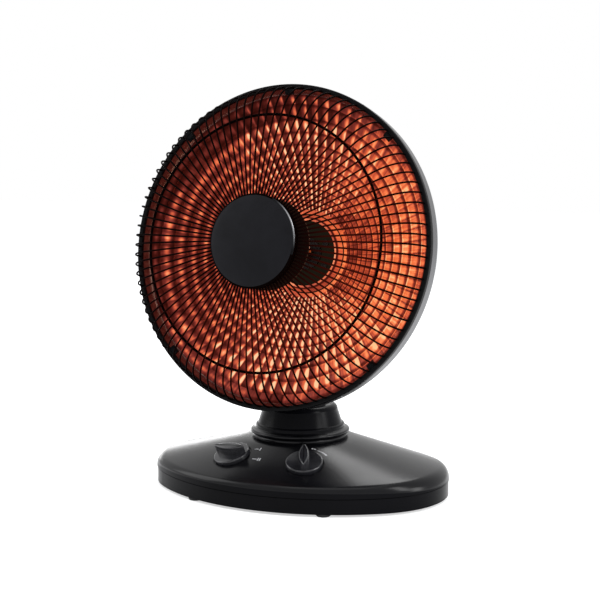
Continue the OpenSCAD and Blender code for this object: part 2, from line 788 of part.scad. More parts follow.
// The base's outline is an oval of four arcs: two ends and two flatter flanks
base_a = base_w / 2;
base_b = base_d / 2;
flank_r = (pow(base_a - base_end_r, 2) + base_b * base_b - pow(base_end_r, 2))
    / (2 * (base_b - base_end_r));
flank_lean = atan2(flank_r - base_b, base_a - base_end_r);

// The oval set in by d
module oval(d) {
    reach = base_a - base_end_r + base_end_r * cos(flank_lean);
    for (side = [-1, 1]) translate([side * (base_a - base_end_r), 0]) circle(base_end_r - d);
    intersection() {
        translate([0, base_b - flank_r]) circle(flank_r - d);
        translate([0, flank_r - base_b]) circle(flank_r - d);
        square([2 * reach, 2 * base_b], center = true);
    }
}

// The oval's point whose outward direction is a, set in by d
function oval_point(a, d) = abs(sin(a)) < sin(flank_lean)
    ? [sign(cos(a)) * (base_a - base_end_r) + (base_end_r - d) * cos(a), (base_end_r - d) * sin(a)]
    : [(flank_r - d) * cos(a), sign(sin(a)) * (base_b - flank_r) + (flank_r - d) * sin(a)];
function oval_reach(a) = oval_point(a, 0) * [cos(a), sin(a)];
pan_z0 = foot_h;
pan_z1 = foot_h + skirt_h;
cover_z0 = pan_z1 + groove_h;
floor_z = pan_z0 + base_wall;

// An oval plate whose outline lies d inside the base's own
module base_slab(d, z0, z1) {
    translate([0, 0, z0]) linear_extrude(z1 - z0) oval(d);
}

// The cover is a tent between its round top and its oval edge, which is rounded.
// In direction a the rounding turns by this angle before the slope leaves it.
function round_turn(a) =
    let (run = oval_reach(a) - cover_round - cover_top_r, rise = cover_top_z - cover_z0)
    180 - atan2(rise, run) - acos(cover_round / norm([run, rise]));

// A ring of the cover's skin at share s of the rounding, for a skin d inside the outer one
tent_dirs = [for (a = [0:5:355]) a];
function round_ring(s, d) = [for (a = tent_dirs)
    let (turn = s * round_turn(a), r = cover_round - d, p = oval_point(a, cover_round - r * cos(turn)))
    [p[0], p[1], cover_z0 + r * sin(turn)]];
function level_ring(r, z) = [for (a = tent_dirs) [r * cos(a), r * sin(a), z]];

// The body under the cover's skin d inside the outer one, down to the height low
module tent(d, low) {
    n = len(tent_dirs);
    steps = 5;
    rings = concat(
        [[for (p = round_ring(0, d)) [p[0], p[1], low]]],
        [for (i = [0:steps]) round_ring(i / steps, d)],
        [level_ring(cover_top_r - d * 0.2, cover_top_z - d)]);
    last = (len(rings) - 1) * n;
    polyhedron(
        points = [for (ring = rings) each ring],
        faces = concat(
            [[for (k = [0:n - 1]) k]],
            [for (j = [0:len(rings) - 2]) for (k = [0:n - 1])
                let (a = j * n + k, b = j * n + (k + 1) % n)
                each [[a, b + n, b], [a, a + n, b + n]]],
            [[for (k = [n - 1:-1:0]) last + k]]),
        convexity = 4);
}

// A knob's frame: its middle on the cover's slope, +Z square to the slope
knob_turn = round_turn(knob_dir);
knob_edge = oval_point(knob_dir, cover_round * (1 - cos(knob_turn)));
knob_top = cover_top_r * [cos(knob_dir), sin(knob_dir)];
knob_xy = knob_top + knob_share * (knob_edge - knob_top);
edge_z = cover_z0 + cover_round * sin(knob_turn);
knob_z = cover_top_z + knob_share * (edge_z - cover_top_z);
knob_lean = 90 - knob_turn;

module at_knob(side) {
    translate([side * knob_xy[0], -knob_xy[1], knob_z])
        rotate([0, 0, side > 0 ? -knob_dir : knob_dir - 180])
            rotate([0, knob_lean, 0]) children();
}

recess_r = knob_r + 1.2;
recess_d = 1.6;
pad_d = 5;

module cover_holes() {
    for (side = [-1, 1]) at_knob(side) {
        rod(recess_r, -recess_d, 30);
        rod(knob_shaft_r + 2, -20, 30);
    }
    rod(swivel_hole_r, 0, cover_top_z + 1);
}

swivel_hole_r = 22;
pan_in = 0.8;
lip_in = 1.9;
lip_t = 2.7;
module base_cover() {
    skin_mid = base_wall / 2;
    color(plastic_black) difference() {
        union() {
            difference() {
                tent(0, cover_z0);
                tent(base_wall, cover_z0 - 1);
            }
            intersection() {
                tent(skin_mid, cover_z0);
                for (side = [-1, 1]) at_knob(side) rod(recess_r + 2.5, -pad_d, 4);
            }
            intersection() {
                tent(skin_mid, floor_z);
                for (p = screw_places) translate([p[0], p[1], 0]) rod(5, floor_z + 7, cover_top_z);
            }
        }
        cover_holes();
        for (p = screw_places) translate([p[0], p[1], 0]) rod(1.5, floor_z, cover_z0 + 10);
    }
}

// Feet and screws stand inside the oval's edge by these distances, in these directions
foot_in = foot_r + 0.8;
end_foot_in = foot_r + 6.5;
screw_in = 25.5;
foot_places = concat([for (a = [68, 112, 248, 292]) oval_point(a, foot_in)],
                     [for (a = [0, 180]) oval_point(a, end_foot_in)]);
screw_places = [for (a = [44, 136, 224, 316]) oval_point(a, screw_in)];
cord_hole_r = 3.6;
gland_r = cord_hole_r + 1.6;
gland_z = floor_z + gland_r + 1.2 + seat_fit;
plunger_xy = [-72, 18];
plunger_r = 5;
plunger_drop = 4;

slot_w = 4;
slot_len = 14;
slot_pitch = 10;
slot_y = -0.55 * base_b;
module base_pan() {
    color(plastic_black) difference() {
        union() {
            difference() {
                base_slab(pan_in, pan_z0, pan_z1);
                base_slab(pan_in + base_wall, floor_z, pan_z1 + 1);
            }
            // inner lip that the cover sits on, seen as the shadow groove
            difference() {
                base_slab(lip_in, pan_z1 - 4, cover_z0);
                base_slab(lip_in + lip_t, floor_z, cover_z0 + 1);
            }
            for (p = screw_places) translate([p[0], p[1], 0]) rod(5, pan_z0, floor_z + 6.8);
            at_plunger() rod(plunger_r + 3, pan_z0, guide_z);
        }
        for (p = foot_places) translate([p[0], p[1], 0])
            rod(foot_stem_r + seat_fit / 2, pan_z0 - 1, floor_z + 1);
        for (p = screw_places) translate([p[0], p[1], 0]) {
            rod(2.2, pan_z0 - 1, floor_z + 8);
            rod(4, pan_z0 - 1, pan_z0 + 3);
        }
        at_plunger() rod(plunger_r + turn_gap, pan_z0 - 1, guide_z + 1);
        translate([0, base_b + 5, gland_z]) rotate([90, 0, 0]) cylinder(r = gland_r, h = 30);
        // air slots in the floor
        for (i = [-3:3]) translate([i * slot_pitch - slot_w / 2, slot_y, pan_z0 - 1])
            cube([slot_w, slot_len, base_wall + 2]);
    }
}

module at_plunger() {
    translate([plunger_xy[0], plunger_xy[1], 0]) children();
}

foot_stem_r = 4;
module rubber_feet() {
    color(rubber_black) for (p = foot_places) translate([p[0], p[1], 0]) {
        rotate_extrude() polygon([[0, 0], [foot_r - 1, 0], [foot_r, 1], [foot_r, foot_h], [0, foot_h]]);
        rod(foot_stem_r, foot_h, floor_z);
        rod(foot_stem_r + 1.5, floor_z, floor_z + 1.5);
    }
}

// A channel of cast iron behind the front skirt, which keeps the heater from tipping forward
ballast_in = 35.5;
ballast_w = 16;
ballast_t = 9;
ballast_half = 0.295 * base_a;
module ballast_plate() {
    front = ballast_in - base_b;
    color(steel) difference() {
        block([-ballast_half, front, floor_z], [ballast_half, front + ballast_w, floor_z + ballast_t]);
        block([12 - ballast_half, front - 1, floor_z + ballast_t * 2 / 3],
              [ballast_half - 12, front + ballast_w + 1, floor_z + ballast_t + 1]);
    }
}

module neck_collar() {
    foot_r0 = cup_bead_r - 2.6;
    color(plastic_black) rotate_extrude() polygon(concat(
        [[swivel_hole_r, collar_z0], [foot_r0, collar_z0]],
        arc([foot_r0 - 1, collar_z0 + 1.2], 1, 0, 20, 2),
        arc([foot_r0 - 2.2, collar_z1 - 1.4], 1.4, 20, 90, 4),
        [[swivel_hole_r, collar_z1]]));
}

bearing_flange_t = 3;
bearing_flange_r = swivel_hole_r * 2;
module swivel_bearing() {
    under = cover_top_z - base_wall;
    color(ceramic) difference() {
        union() {
            rod(swivel_hole_r - turn_gap, bearing_z0, bearing_top);
            rod(bearing_flange_r, under - bearing_flange_t, under);
        }
        rod(spindle_r + run_fit, bearing_z0 - 1, bearing_top + 1);
    }
}

module thrust_washer() {
    color(bright) ring(spindle_r + 0.15, spindle_r + 7, bearing_top, bearing_top + washer_t);
}

motor_z0 = floor_z + 5;
crank_z1 = arm_z1 - arm_t - 2;
crank_t = 4;
module swing_motor() {
    color(steel) translate([0, crank_gap, 0]) difference() {
        union() {
            rod(motor_r, motor_z0, motor_z0 + motor_len);
            for (side = [-1, 1]) translate([side * (motor_r + 3), 0, 0])
                rod(5, motor_z0 + motor_len - ear_lug_t, motor_z0 + motor_len);
            block([-motor_r - 3, -5, motor_z0 + motor_len - ear_lug_t],
                  [motor_r + 3, 5, motor_z0 + motor_len]);
        }
        rod(motor_shaft_r + run_fit, motor_z0 + motor_len - 8, motor_z0 + motor_len + 1);
        for (side = [-1, 1]) translate([side * (motor_r + 3), 0, 0])
            rod(1.8, motor_z0 + motor_len - 3, motor_z0 + motor_len + 1);
    }
}

motor_shaft_r = 3;
module motor_shaft() {
    color(bright) translate([0, crank_gap, 0])
        rod(motor_shaft_r, motor_z0 + motor_len - 7.5, crank_z1);
}

module crank_disc() {
    color(steel) translate([0, crank_gap, 0]) difference() {
        union() {
            rod(9, crank_z1 - crank_t, crank_z1);
            translate([0, crank_throw, 0]) rod(7, crank_z1 - crank_t, crank_z1);
            block([-7, 0, crank_z1 - crank_t], [7, crank_throw, crank_z1]);
            translate([0, crank_throw, 0]) rod(3, crank_z1, arm_z1 + 1.5);
        }
        rod(motor_shaft_r, crank_z1 - crank_t - 1, crank_z1 + 1);
    }
}

module crank_roller() {
    color(ceramic) translate([0, crank_gap + crank_throw, 0])
        ring(3, roller_r, crank_z1 + 1, arm_z1 + 0.8);
}

// Bracket under the motor: a plate on four posts, with two posts up to the motor's ears
ear_lug_t = 2;
motor_plate_t = 2;
motor_post_r = 4;
module motor_bracket() {
    half_x = motor_r + 8;
    half_y = motor_r - 7;
    color(bright) translate([0, crank_gap, 0]) {
        block([-half_x, -half_y, motor_z0 - motor_plate_t], [half_x, half_y, motor_z0]);
        for (x = [-1, 1]) {
            for (y = [-1, 1]) translate([x * (half_x - 7), y * (half_y - 6), 0])
                rod(motor_post_r, floor_z, motor_z0 - motor_plate_t / 2);
            translate([x * (motor_r + 4.6), 0, 0])
                rod(3.2, motor_z0 - motor_plate_t / 2, motor_z0 + motor_len - ear_lug_t);
        }
    }
}

switch_w = 28;
switch_len = 15;
module knob_switch(side) {
    at_knob(side) difference() {
        block([-switch_w / 2, -switch_w / 2, -pad_d - switch_len], [switch_w / 2, switch_w / 2, -pad_d]);
        rod(knob_shaft_r + run_fit, -pad_d - 10, -pad_d + 1);
    }
}

module selector_switch() {
    color([0.85, 0.85, 0.82]) knob_switch(-1);
}

module thermostat() {
    color(ceramic) knob_switch(1);
}

module knob_shaft(side) {
    at_knob(side) rod(knob_shaft_r, -pad_d - 9.5, knob_t - 1.5);
}

module selector_shaft() {
    color(brass) knob_shaft(-1);
}

module thermostat_shaft() {
    color(brass) knob_shaft(1);
}

// A knob: a low disc with a pointed grip across it; turn is the grip's direction
module knob(turn) {
    low = -recess_d + turn_gap;
    top = knob_t - recess_d;
    lens_r = (knob_r * knob_r + pow(grip_w / 2, 2)) / grip_w;
    difference() {
        union() {
            rotate_extrude() polygon([
                [0, low], [knob_r, low], [knob_r, top - 1.6], [knob_r - 1.2, top], [0, top]]);
            intersection() {
                rod(knob_r - 0.6, top - 1, top + grip_h);
                rotate([0, 0, turn]) intersection() {
                    translate([0, lens_r - grip_w / 2, 0]) rod(lens_r, top - 1, top + grip_h);
                    translate([0, grip_w / 2 - lens_r, 0]) rod(lens_r, top - 1, top + grip_h);
                }
            }
        }
        rod(knob_shaft_r, low - 1, knob_t - 1.5);
    }
}

// Grip directions seen by somebody in front: the selector points right, the thermostat up
module selector_knob() {
    color(plastic_black) at_knob(-1) knob(173.5 - knob_dir);
}

module thermostat_knob() {
    color(plastic_black) at_knob(1) knob(knob_dir + 114.5);
}

guide_z = floor_z + 7.5;
plunger_head_z = guide_z + plunger_drop + turn_gap;
module tip_plunger() {
    low = 0.2;
    color([0.85, 0.2, 0.12]) at_plunger() {
        rod(plunger_r, low, plunger_head_z);
        rod(plunger_r + 2.4, plunger_head_z, plunger_head_z + 2);
    }
}

tip_switch_z = plunger_head_z + 2 + turn_gap;
tip_back = plunger_r + 4;
module tip_switch() {
    color(wire_black) at_plunger()
        block([-14, -6, tip_switch_z], [14, tip_back, tip_switch_z + 15]);
}

module tip_bracket() {
    color(bright) at_plunger() {
        block([-14, tip_back, floor_z], [14, tip_back + 1.2, tip_switch_z + 15]);
        block([-14, tip_back, floor_z], [14, tip_back + 12, floor_z + 1.2]);
    }
}

// Rear inlet: a grommet in the skirt, ready for a 7 mm round cord
module cord_gland() {
    wall_out = base_b - pan_in;
    wall_in = base_b - lip_in - lip_t - seat_fit;
    color(rubber_black) translate([0, 0, gland_z]) rotate([-90, 0, 0]) difference() {
        union() {
            rod(gland_r, wall_in - 9, wall_out + 0.6);
            rod(gland_r + 1.2, wall_in - 3, wall_in);
        }
        rod(cord_hole_r, wall_in - 10, wall_out + 2);
    }
}

module base_screws() {
    color(steel) for (p = screw_places) translate([p[0], p[1], 0]) {
        rod(1.5, pan_z0 + 3, cover_z0 + 9);
        rod(3.6, pan_z0 + 1, pan_z0 + 3);
    }
}

// ---- the part -------------------------------------------------------------------

base_pan();
base_cover();
rubber_feet();
ballast_plate();
neck_collar();
swivel_bearing();
thrust_washer();
swing_motor();
motor_bracket();
selector_switch();
thermostat();
tip_switch();
tip_bracket();
cord_gland();
base_screws();
motor_shaft();
crank_disc();
crank_roller();
selector_knob();
selector_shaft();
thermostat_knob();
thermostat_shaft();
tip_plunger();
neck_cup();
spindle();
retaining_ring();
swing_arm();
tilt_bracket();
tilt_bolt();
tilt_nut();
neck_screws();
head_arm();
arm_cover();
friction_washers();
back_shell();
reflector();
hub_ring();
hub_spacer();
hub_screws();
shell_screws();
rim_ring();
rim_clips();
guard_wires();
guard_ring();
guard_cap();
element_shield();
element_former();
heater_coil();
coil_terminals();
element_stem();
element_nuts();
rear_housing();
housing_screws();
terminal_block();
thermal_cutout();
head_leads();
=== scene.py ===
# %% [markdown]
# # A parabolic heater, dressed in Blender
# The heater is a dished, mirror-bright bowl with a glowing coil at its middle, a black wire guard in
# front, a neck that swings and tilts, and an oval black base with two knobs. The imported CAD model
# already holds every part at its right size and place. This lesson loads it as a fixed frame, gives
# each part its finish, and rebuilds in finer mesh the few parts that the eye rests on.

# %% The frame
import json
import math

import bmesh
import bpy
import numpy as np
from mathutils import Matrix, Vector
from mathutils.bvhtree import BVHTree


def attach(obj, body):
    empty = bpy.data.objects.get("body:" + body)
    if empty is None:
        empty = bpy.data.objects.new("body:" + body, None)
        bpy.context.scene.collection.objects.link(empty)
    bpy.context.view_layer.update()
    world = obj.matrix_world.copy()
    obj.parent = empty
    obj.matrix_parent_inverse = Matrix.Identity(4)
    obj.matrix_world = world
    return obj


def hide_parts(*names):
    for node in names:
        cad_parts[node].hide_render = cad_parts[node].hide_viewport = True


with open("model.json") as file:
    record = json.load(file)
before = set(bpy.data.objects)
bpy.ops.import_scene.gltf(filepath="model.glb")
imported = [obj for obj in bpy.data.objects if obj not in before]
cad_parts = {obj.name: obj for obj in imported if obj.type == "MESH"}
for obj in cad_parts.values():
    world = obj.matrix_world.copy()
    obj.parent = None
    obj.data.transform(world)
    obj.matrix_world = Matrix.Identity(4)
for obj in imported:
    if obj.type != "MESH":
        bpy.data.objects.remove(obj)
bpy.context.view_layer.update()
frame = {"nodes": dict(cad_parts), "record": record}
nodes = frame["nodes"]

# %% [markdown]
# ## The camera
# The photograph was taken from the heater's right front and a little above. A camera can be set by
# eye, but then every size read from the picture is a little off. This one was worked out from points
# seen in both picture and model. A lens of 84 mm keeps the bowl's oval as flat as it is there.

# %% Camera
camera_place = Vector((0.7111, -1.4217, 0.3999))
camera_aim = Vector((0.00005, 0.00003, 0.2176))
camera = bpy.data.objects.new("camera", bpy.data.cameras.new("camera"))
camera_lens, camera_roll = 84.1, math.radians(-0.09)
camera.data.sensor_width, camera.data.lens = 36, camera_lens
look = (camera_aim - camera_place).to_track_quat("-Z", "Y").to_matrix().to_4x4()
camera.matrix_world = Matrix.Translation(camera_place) @ look @ Matrix.Rotation(camera_roll, 4, "Z")
bpy.context.scene.collection.objects.link(camera)
bpy.context.scene.camera = camera
print("camera to aim, mm:", round(1000 * (camera_place - camera_aim).length))

# %% [markdown]
# ## Small tools for meshes
# Most of the heater was spun or moulded round an axis, so its parts are turned shapes: a section
# carried round. The wires and the coil are rods bent along a line. Modifiers could make both, but
# points written straight into a mesh keep each radius in one place. Sections are in millimetres, as
# on a drawing, and the helpers change them to metres.

# %% Putting a mesh in the scene
def clean_mesh(name, verts, faces, place):
    """A mesh from points in millimetres in the frame `place`, with doubled points joined."""
    mesh = bpy.data.meshes.new(name)
    mesh.from_pydata([tuple(p / 1000 for p in v) for v in verts], [], faces)
    mesh.transform(place)
    mesh.validate()
    tool = bmesh.new()
    tool.from_mesh(mesh)
    bmesh.ops.remove_doubles(tool, verts=tool.verts, dist=1e-6)
    bmesh.ops.recalc_face_normals(tool, faces=tool.faces)
    tool.to_mesh(mesh)
    tool.free()
    return mesh


def add_piece(name, shape, place, body, slot, replaces, material=None, sharp=40):
    """A smooth piece on a body in place of CAD nodes, in the finish of its slot or another."""
    mesh = clean_mesh(name, *shape, place)
    mesh.shade_smooth()
    mesh.set_sharp_from_angle(angle=math.radians(sharp))
    piece = bpy.data.objects.new(name, mesh)
    bpy.context.scene.collection.objects.link(piece)
    piece.data.materials.append(material or by_slot[slot])
    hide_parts(*replaces)
    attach(piece, body)
    print(f"{name}: {len(mesh.polygons)} faces on {body}")
    return piece


# %% Turned shapes
def arc(cx, cy, r, a0, a1, steps):
    """Points of an arc in a section, from angle a0 to a1 in degrees."""
    turns = [math.radians(a0 + (a1 - a0) * i / steps) for i in range(steps + 1)]
    return [(cx + r * math.cos(a), cy + r * math.sin(a)) for a in turns]


def ring_faces(rings, around, closed=False):
    """Faces between rings of points; closed joins the last ring to the first."""
    faces = []
    for j in range(rings if closed else rings - 1):
        here, there = j * around, (j + 1) % rings * around
        for k in range(around):
            beside = (k + 1) % around
            faces.append((here + k, here + beside, there + beside, there + k))
    return faces


def turned(section, around):
    """Points and faces of a closed section of (radius, height) carried round the axis."""
    turns = [2 * math.pi * k / around for k in range(around)]
    verts = [(r * math.cos(a), r * math.sin(a), z) for a in turns for r, z in section]
    return verts, ring_faces(around, len(section), True)


print("a plain ring of 12 steps has", len(turned([(9, 0), (10, 0), (10, 1)], 12)[1]), "faces")

# %% Rods bent along a line
def rod_along(points, radius, sides, closed=False):
    """Points and faces of a round rod along a line; its ends are closed."""
    line = [Vector(p) for p in points]
    n = len(line)
    verts, side = [], None
    for i, p in enumerate(line):
        before = line[i - 1] if closed or i else p
        after = line[(i + 1) % n] if closed or i < n - 1 else p
        ahead = (after - before).normalized()
        if side is None:
            side = ahead.orthogonal().normalized()
        side = (side - ahead * side.dot(ahead)).normalized()
        lift = ahead.cross(side)
        for k in range(sides):
            a = 2 * math.pi * k / sides
            verts.append(tuple(p + radius * (math.cos(a) * side + math.sin(a) * lift)))
    faces = ring_faces(n, sides, closed)
    if not closed:
        faces += [tuple(reversed(range(sides))), tuple((n - 1) * sides + k for k in range(sides))]
    return verts, faces


def joined(parts):
    """Several (points, faces) as one."""
    verts, faces = [], []
    for v, f in parts:
        faces += [tuple(i + len(verts) for i in face) for face in f]
        verts += v
    return verts, faces


print("a short straight rod has", len(rod_along([(0, 0, 0), (0, 0, 10)], 1, 10)[1]), "faces")

# %% [markdown]
# ## The head's own frame
# The head leans back ten degrees at rest. Its parts could be drawn in the room's own directions, with
# the lean worked into every number. Here they are drawn about the middle of the rim, looking along
# the head's axis, and one matrix takes them into the room. Its inverse takes a point back, for
# finishes that depend on the place on the head.

# %% Frames
rim_middle, lean_back = (0, -0.053, 0.282), 10
head = Matrix.Translation(rim_middle) @ Matrix.Rotation(math.radians(90 - lean_back), 4, "X")
to_head = head.inverted()
room = Matrix.Identity(4)
print("middle of the rim, mm:", [round(1000 * v) for v in head.translation])


def drawn_points(piece):
    """A piece's points in the head's drawing, in millimetres."""
    return [to_head @ vertex.co * 1000 for vertex in piece.data.vertices]


def polar(p):
    """Distance from the axis of a point of the drawing, and its direction in radians."""
    return math.hypot(p[0], p[1]), math.atan2(p[1], p[0])

# %% [markdown]
# ## Finishes
# A real surface is never one flat colour: moulded plastic has a fine grain, enamelled wire a slight
# orange peel, spun metal a soft cloudiness. They could be painted as pictures, but a picture blurs
# close up and needs unwrapping. Each finish below is worked out from the place on the object: two
# close shades mixed by a soft cloud, a gloss that wanders a little, and a fine grain as bump. One
# builder makes them all, and what differs is written in a line each.

# %% Nodes with their inputs set
def link(tree, a, b):
    """Join an output to an input."""
    tree.links.new(a, b)


def set_inputs(node, **inputs):
    """Set a node's inputs by name, with _ for a space."""
    for name, value in inputs.items():
        node.inputs[name.replace("_", " ")].default_value = value
    return node


def add_node(tree, kind, **inputs):
    """A new shader node with its inputs set."""
    return set_inputs(tree.nodes.new("ShaderNode" + kind), **inputs)


def add_math(tree, how, a, b):
    """A number from a socket, worked into one with another from a socket or with a fixed one."""
    node = add_node(tree, "Math")
    node.operation = how
    link(tree, a, node.inputs[0])
    if isinstance(b, float):
        node.inputs[1].default_value = b
    else:
        link(tree, b, node.inputs[1])
    return node.outputs[0]


def add_stretch(tree, number, low, high):
    """The middle part of a noise, stretched to run from low to high."""
    span = add_node(tree, "MapRange", From_Min=0.3, From_Max=0.7, To_Min=low, To_Max=high)
    link(tree, number, span.inputs["Value"])
    return span.outputs["Result"]


print("materials that came with the CAD parts:", len(bpy.data.materials))

# %% Colours, and numbers kept in the mesh
def add_ramp(tree, number, stops):
    """A colour ramp driven by a number. Its stops are pairs of a place and a colour."""
    node = add_node(tree, "ValToRGB")
    ramp = node.color_ramp
    for element, (at, colour) in zip(ramp.elements, (stops[0], stops[-1])):
        element.position = at
        element.color = (*colour, 1)
    for at, colour in stops[1:-1]:
        ramp.elements.new(at).color = (*colour, 1)
    link(tree, number, node.inputs["Fac"])
    return node.outputs["Color"]


def add_mix(tree, factor, a, b, how="MIX"):
    """Colour a, from a socket, mixed with the fixed colour b by a factor."""
    mix = add_node(tree, "Mix")
    mix.data_type, mix.blend_type = "RGBA", how
    mix.inputs["B"].default_value = (*b, 1)
    link(tree, factor, mix.inputs["Factor"])
    link(tree, a, mix.inputs["A"])
    return mix.outputs["Result"]


def add_attribute(tree, name, output="Fac"):
    """What is kept in the mesh under a name: a number, or with the output "Vector" three."""
    node = add_node(tree, "Attribute")
    node.attribute_name = name
    return node.outputs[output]


print("kinds of helper: stretch, math, ramp, mix, attribute")

# %% A builder of finishes
gloss_swing, grain_depth = 0.12, 0.0002


def shader_of(material):
    """The node that shades a material."""
    return material.node_tree.nodes["Principled BSDF"]


def new_material(name):
    """A material with its node tree and its shader."""
    material = bpy.data.materials.new(name)
    material.use_nodes = True
    return material, material.node_tree, shader_of(material)


def finish(name, colour, rough, metal=0.0, spec=0.5, mottle=0.25, cloud=90, grain=900, bump=0.1):
    """A procedural finish: two close shades, a wandering gloss and a fine grain."""
    material, tree, shader = new_material(name)
    set_inputs(shader, Metallic=metal, Specular_IOR_Level=spec)
    place = add_node(tree, "TexCoord").outputs["Object"]
    soft = add_node(tree, "TexNoise", Scale=cloud, Detail=5)
    fine = add_node(tree, "TexNoise", Scale=grain, Detail=3)
    for noise in (soft, fine):
        link(tree, place, noise.inputs["Vector"])
    darker, lighter = ([min(1, c * share) for c in colour] for share in (1 - mottle, 1 + mottle))
    shades = add_ramp(tree, soft.outputs["Fac"], [(0.3, darker), (0.7, lighter)])
    link(tree, shades, shader.inputs["Base Color"])
    duller, glossier = rough * (1 + gloss_swing), rough * (1 - gloss_swing)
    gloss = add_stretch(tree, soft.outputs["Fac"], glossier, duller)
    link(tree, gloss, shader.inputs["Roughness"])
    relief = add_node(tree, "Bump", Strength=bump, Distance=grain_depth)
    link(tree, fine.outputs["Fac"], relief.inputs["Height"])
    link(tree, relief.outputs["Normal"], shader.inputs["Normal"])
    return material


print("gloss wanders by", gloss_swing, "and the grain is", 1000 * grain_depth, "mm deep")

# %% The finishes of this heater
base_look = dict(cloud=14, grain=1400, bump=0.12)
wire_look = dict(colour=(0.002, 0.0007, 0.0006), rough=0.5, spec=0.006, cloud=120, grain=700, bump=0.15)
by_slot = {
    "base_black": finish("base_plastic", (0.003, 0.003, 0.004), 0.22, spec=0.17, **base_look),
    "knob_black": finish("knob_plastic", (0.015, 0.015, 0.018), 0.18, cloud=60, grain=1600),
    "inner_black": finish("inner_plastic", (0.01, 0.01, 0.011), 0.42, spec=0.2, cloud=25, bump=0.2),
    "wire_black": finish("wire_enamel", **wire_look),
    "rim_black": finish("rim_enamel", (0.003, 0.003, 0.0035), 0.28, spec=0.06, cloud=40, grain=500,
                        bump=0.08),
    "cap_black": finish("cap_enamel", (0.007, 0.007, 0.009), 0.42, spec=0.1, cloud=35, grain=1500,
                        bump=0.2),
    "shell_silver": finish("shell_metal", (0.13, 0.13, 0.136), 0.34, 1, mottle=0.06, cloud=18, grain=800,
                           bump=0.08),
    "hub_bright": finish("hub_metal", (0.1, 0.03, 0.02), 0.25, 1, cloud=60),
    "steel_plain": finish("plain_steel", (0.3, 0.305, 0.32), 0.4, 1, mottle=0.1, cloud=80),
    "cast_weight": finish("cast_iron", (0.16, 0.16, 0.165), 0.62, 0.8, grain=500, bump=0.5),
    "ceramic_cream": finish("ceramic", (0.72, 0.66, 0.56), 0.62, spec=0.3, mottle=0.1, cloud=50, grain=700,
                            bump=0.25),
    "brass_plain": finish("plain_brass", (0.62, 0.42, 0.16), 0.33, 1),
    "rubber_black": finish("foot_rubber", (0.018, 0.018, 0.018), 0.72, spec=0.3, cloud=70, grain=600,
                           bump=0.35),
    "bearing_white": finish("bearing_nylon", (0.78, 0.77, 0.73), 0.5, mottle=0.04, cloud=40, grain=800),
    "switch_grey": finish("switch_plastic", (0.42, 0.42, 0.4), 0.48, mottle=0.08, cloud=40, bump=0.12),
    "lead_sleeve": finish("lead_sleeve", (0.55, 0.5, 0.42), 0.8, cloud=200, grain=1500, bump=0.5),
    "plunger_red": finish("plunger_plastic", (0.5, 0.05, 0.03), 0.42, cloud=60),
}
by_slot["reflector_bright"], by_slot["coil_glow"] = by_slot["shell_silver"], by_slot["ceramic_cream"]
base_plastic, wire_enamel = by_slot["base_black"], by_slot["wire_black"]
base_satin = finish("base_satin", (0.0028, 0.0028, 0.0038), 0.24, spec=0.05, **base_look)
print("finishes:", len(bpy.data.materials))

# %% [markdown]
# ## Finishes for the parts that stay as they came
# Screws, nuts, the motor, the switches and the tilt joint are exact in the CAD model already. Building
# them again in finer mesh would gain nothing, as they are small or hidden. They keep their mesh and
# take a finish by the record's slot names, a few by their own name: the base pan in satin, and the
# parts at the middle of the element darker and duller.

# %% Dressing the CAD parts
slot_of = {entry["node"]: entry["material_slot"] for entry in frame["record"]["subparts"]}
dull_dark_metal = finish("dull_dark_metal", (0.012, 0.009, 0.007), 0.55, 0.6, mottle=0.5, cloud=120, grain=800,
                     bump=0.2)
dark_clay_finish = finish("dark_clay_finish", (0.05, 0.03, 0.02), 0.7, spec=0.05, mottle=0.4, grain=700, bump=0.25)
near_black_matte = finish("near_black_matte", (0.0016, 0.002, 0.0016), 0.6, spec=0.02, grain=700)
by_node = {
    "base_pan": base_satin, "element_shield": near_black_matte, "element_stem": dull_dark_metal,
    "hub_screws": dull_dark_metal, "element_nuts": dull_dark_metal, "element_former": dark_clay_finish,
}
for name, part in nodes.items():
    part_finish = by_node.get(name, by_slot[slot_of[name]])
    if not part.material_slots:
        part.data.materials.append(part_finish)
    for holder in part.material_slots:
        holder.material = part_finish
print("dressed:", len(nodes), "parts in", len(set(slot_of.values())), "finishes")

# %% [markdown]
# ## The bowl
# The reflector is one sheet of bright aluminium, pressed into a dish and then dimpled in rings, so
# that it throws the heat forward in an even field. Each dimple is a small pillow, steep at its hub
# end and nearly flat beyond. So on the side that faces away from the camera only the steep end of
# each one mirrors the coil, and on the other side nearly all of it does. A bump texture can't show
# that truly, so the pillows are real mesh: a polar grid, lifted by a lopsided hump in every cell.

# %% The bowl's section
lip_r, bowl_top_r, bowl_top_z, flat_r, depth = 175.2, 172.0, -11.0, 46.0, 74.0
slope = 0.42
curve = (depth + bowl_top_z - slope * (bowl_top_r - flat_r)) / (bowl_top_r - flat_r) ** 2


def bowl_height(r):
    """Height of the plain sheet at a distance r from the axis."""
    return -depth + (slope * (r - flat_r) + curve * (r - flat_r) ** 2 if r > flat_r else 0)


# The lines between the rings of dimples, which grow with the distance from the hub
ring_edges = [171.5, 162, 147.7, 133.7, 121, 109.8, 99.8, 90.5, 82, 74.3, 67.4, 61.1, 55.4, 50.2]
sectors = 72
print("bowl depth at the hub, mm:", bowl_height(0), "rings of dimples:", len(ring_edges) - 1)

# %% The dimples
def pillow(u, v, length, width):
    """Lift of a dimple. u runs across it and v along it, from its hub end; both from 0 to 1."""
    rise = 0.1 * (1 - math.exp(-v / 0.2)) + 0.02 * v
    across = 1 - (2 * u - 1) ** 2
    return (rise * length + 0.05 * width * across * min(1, v / 0.3)) * min(1, (1 - v) / 0.1)


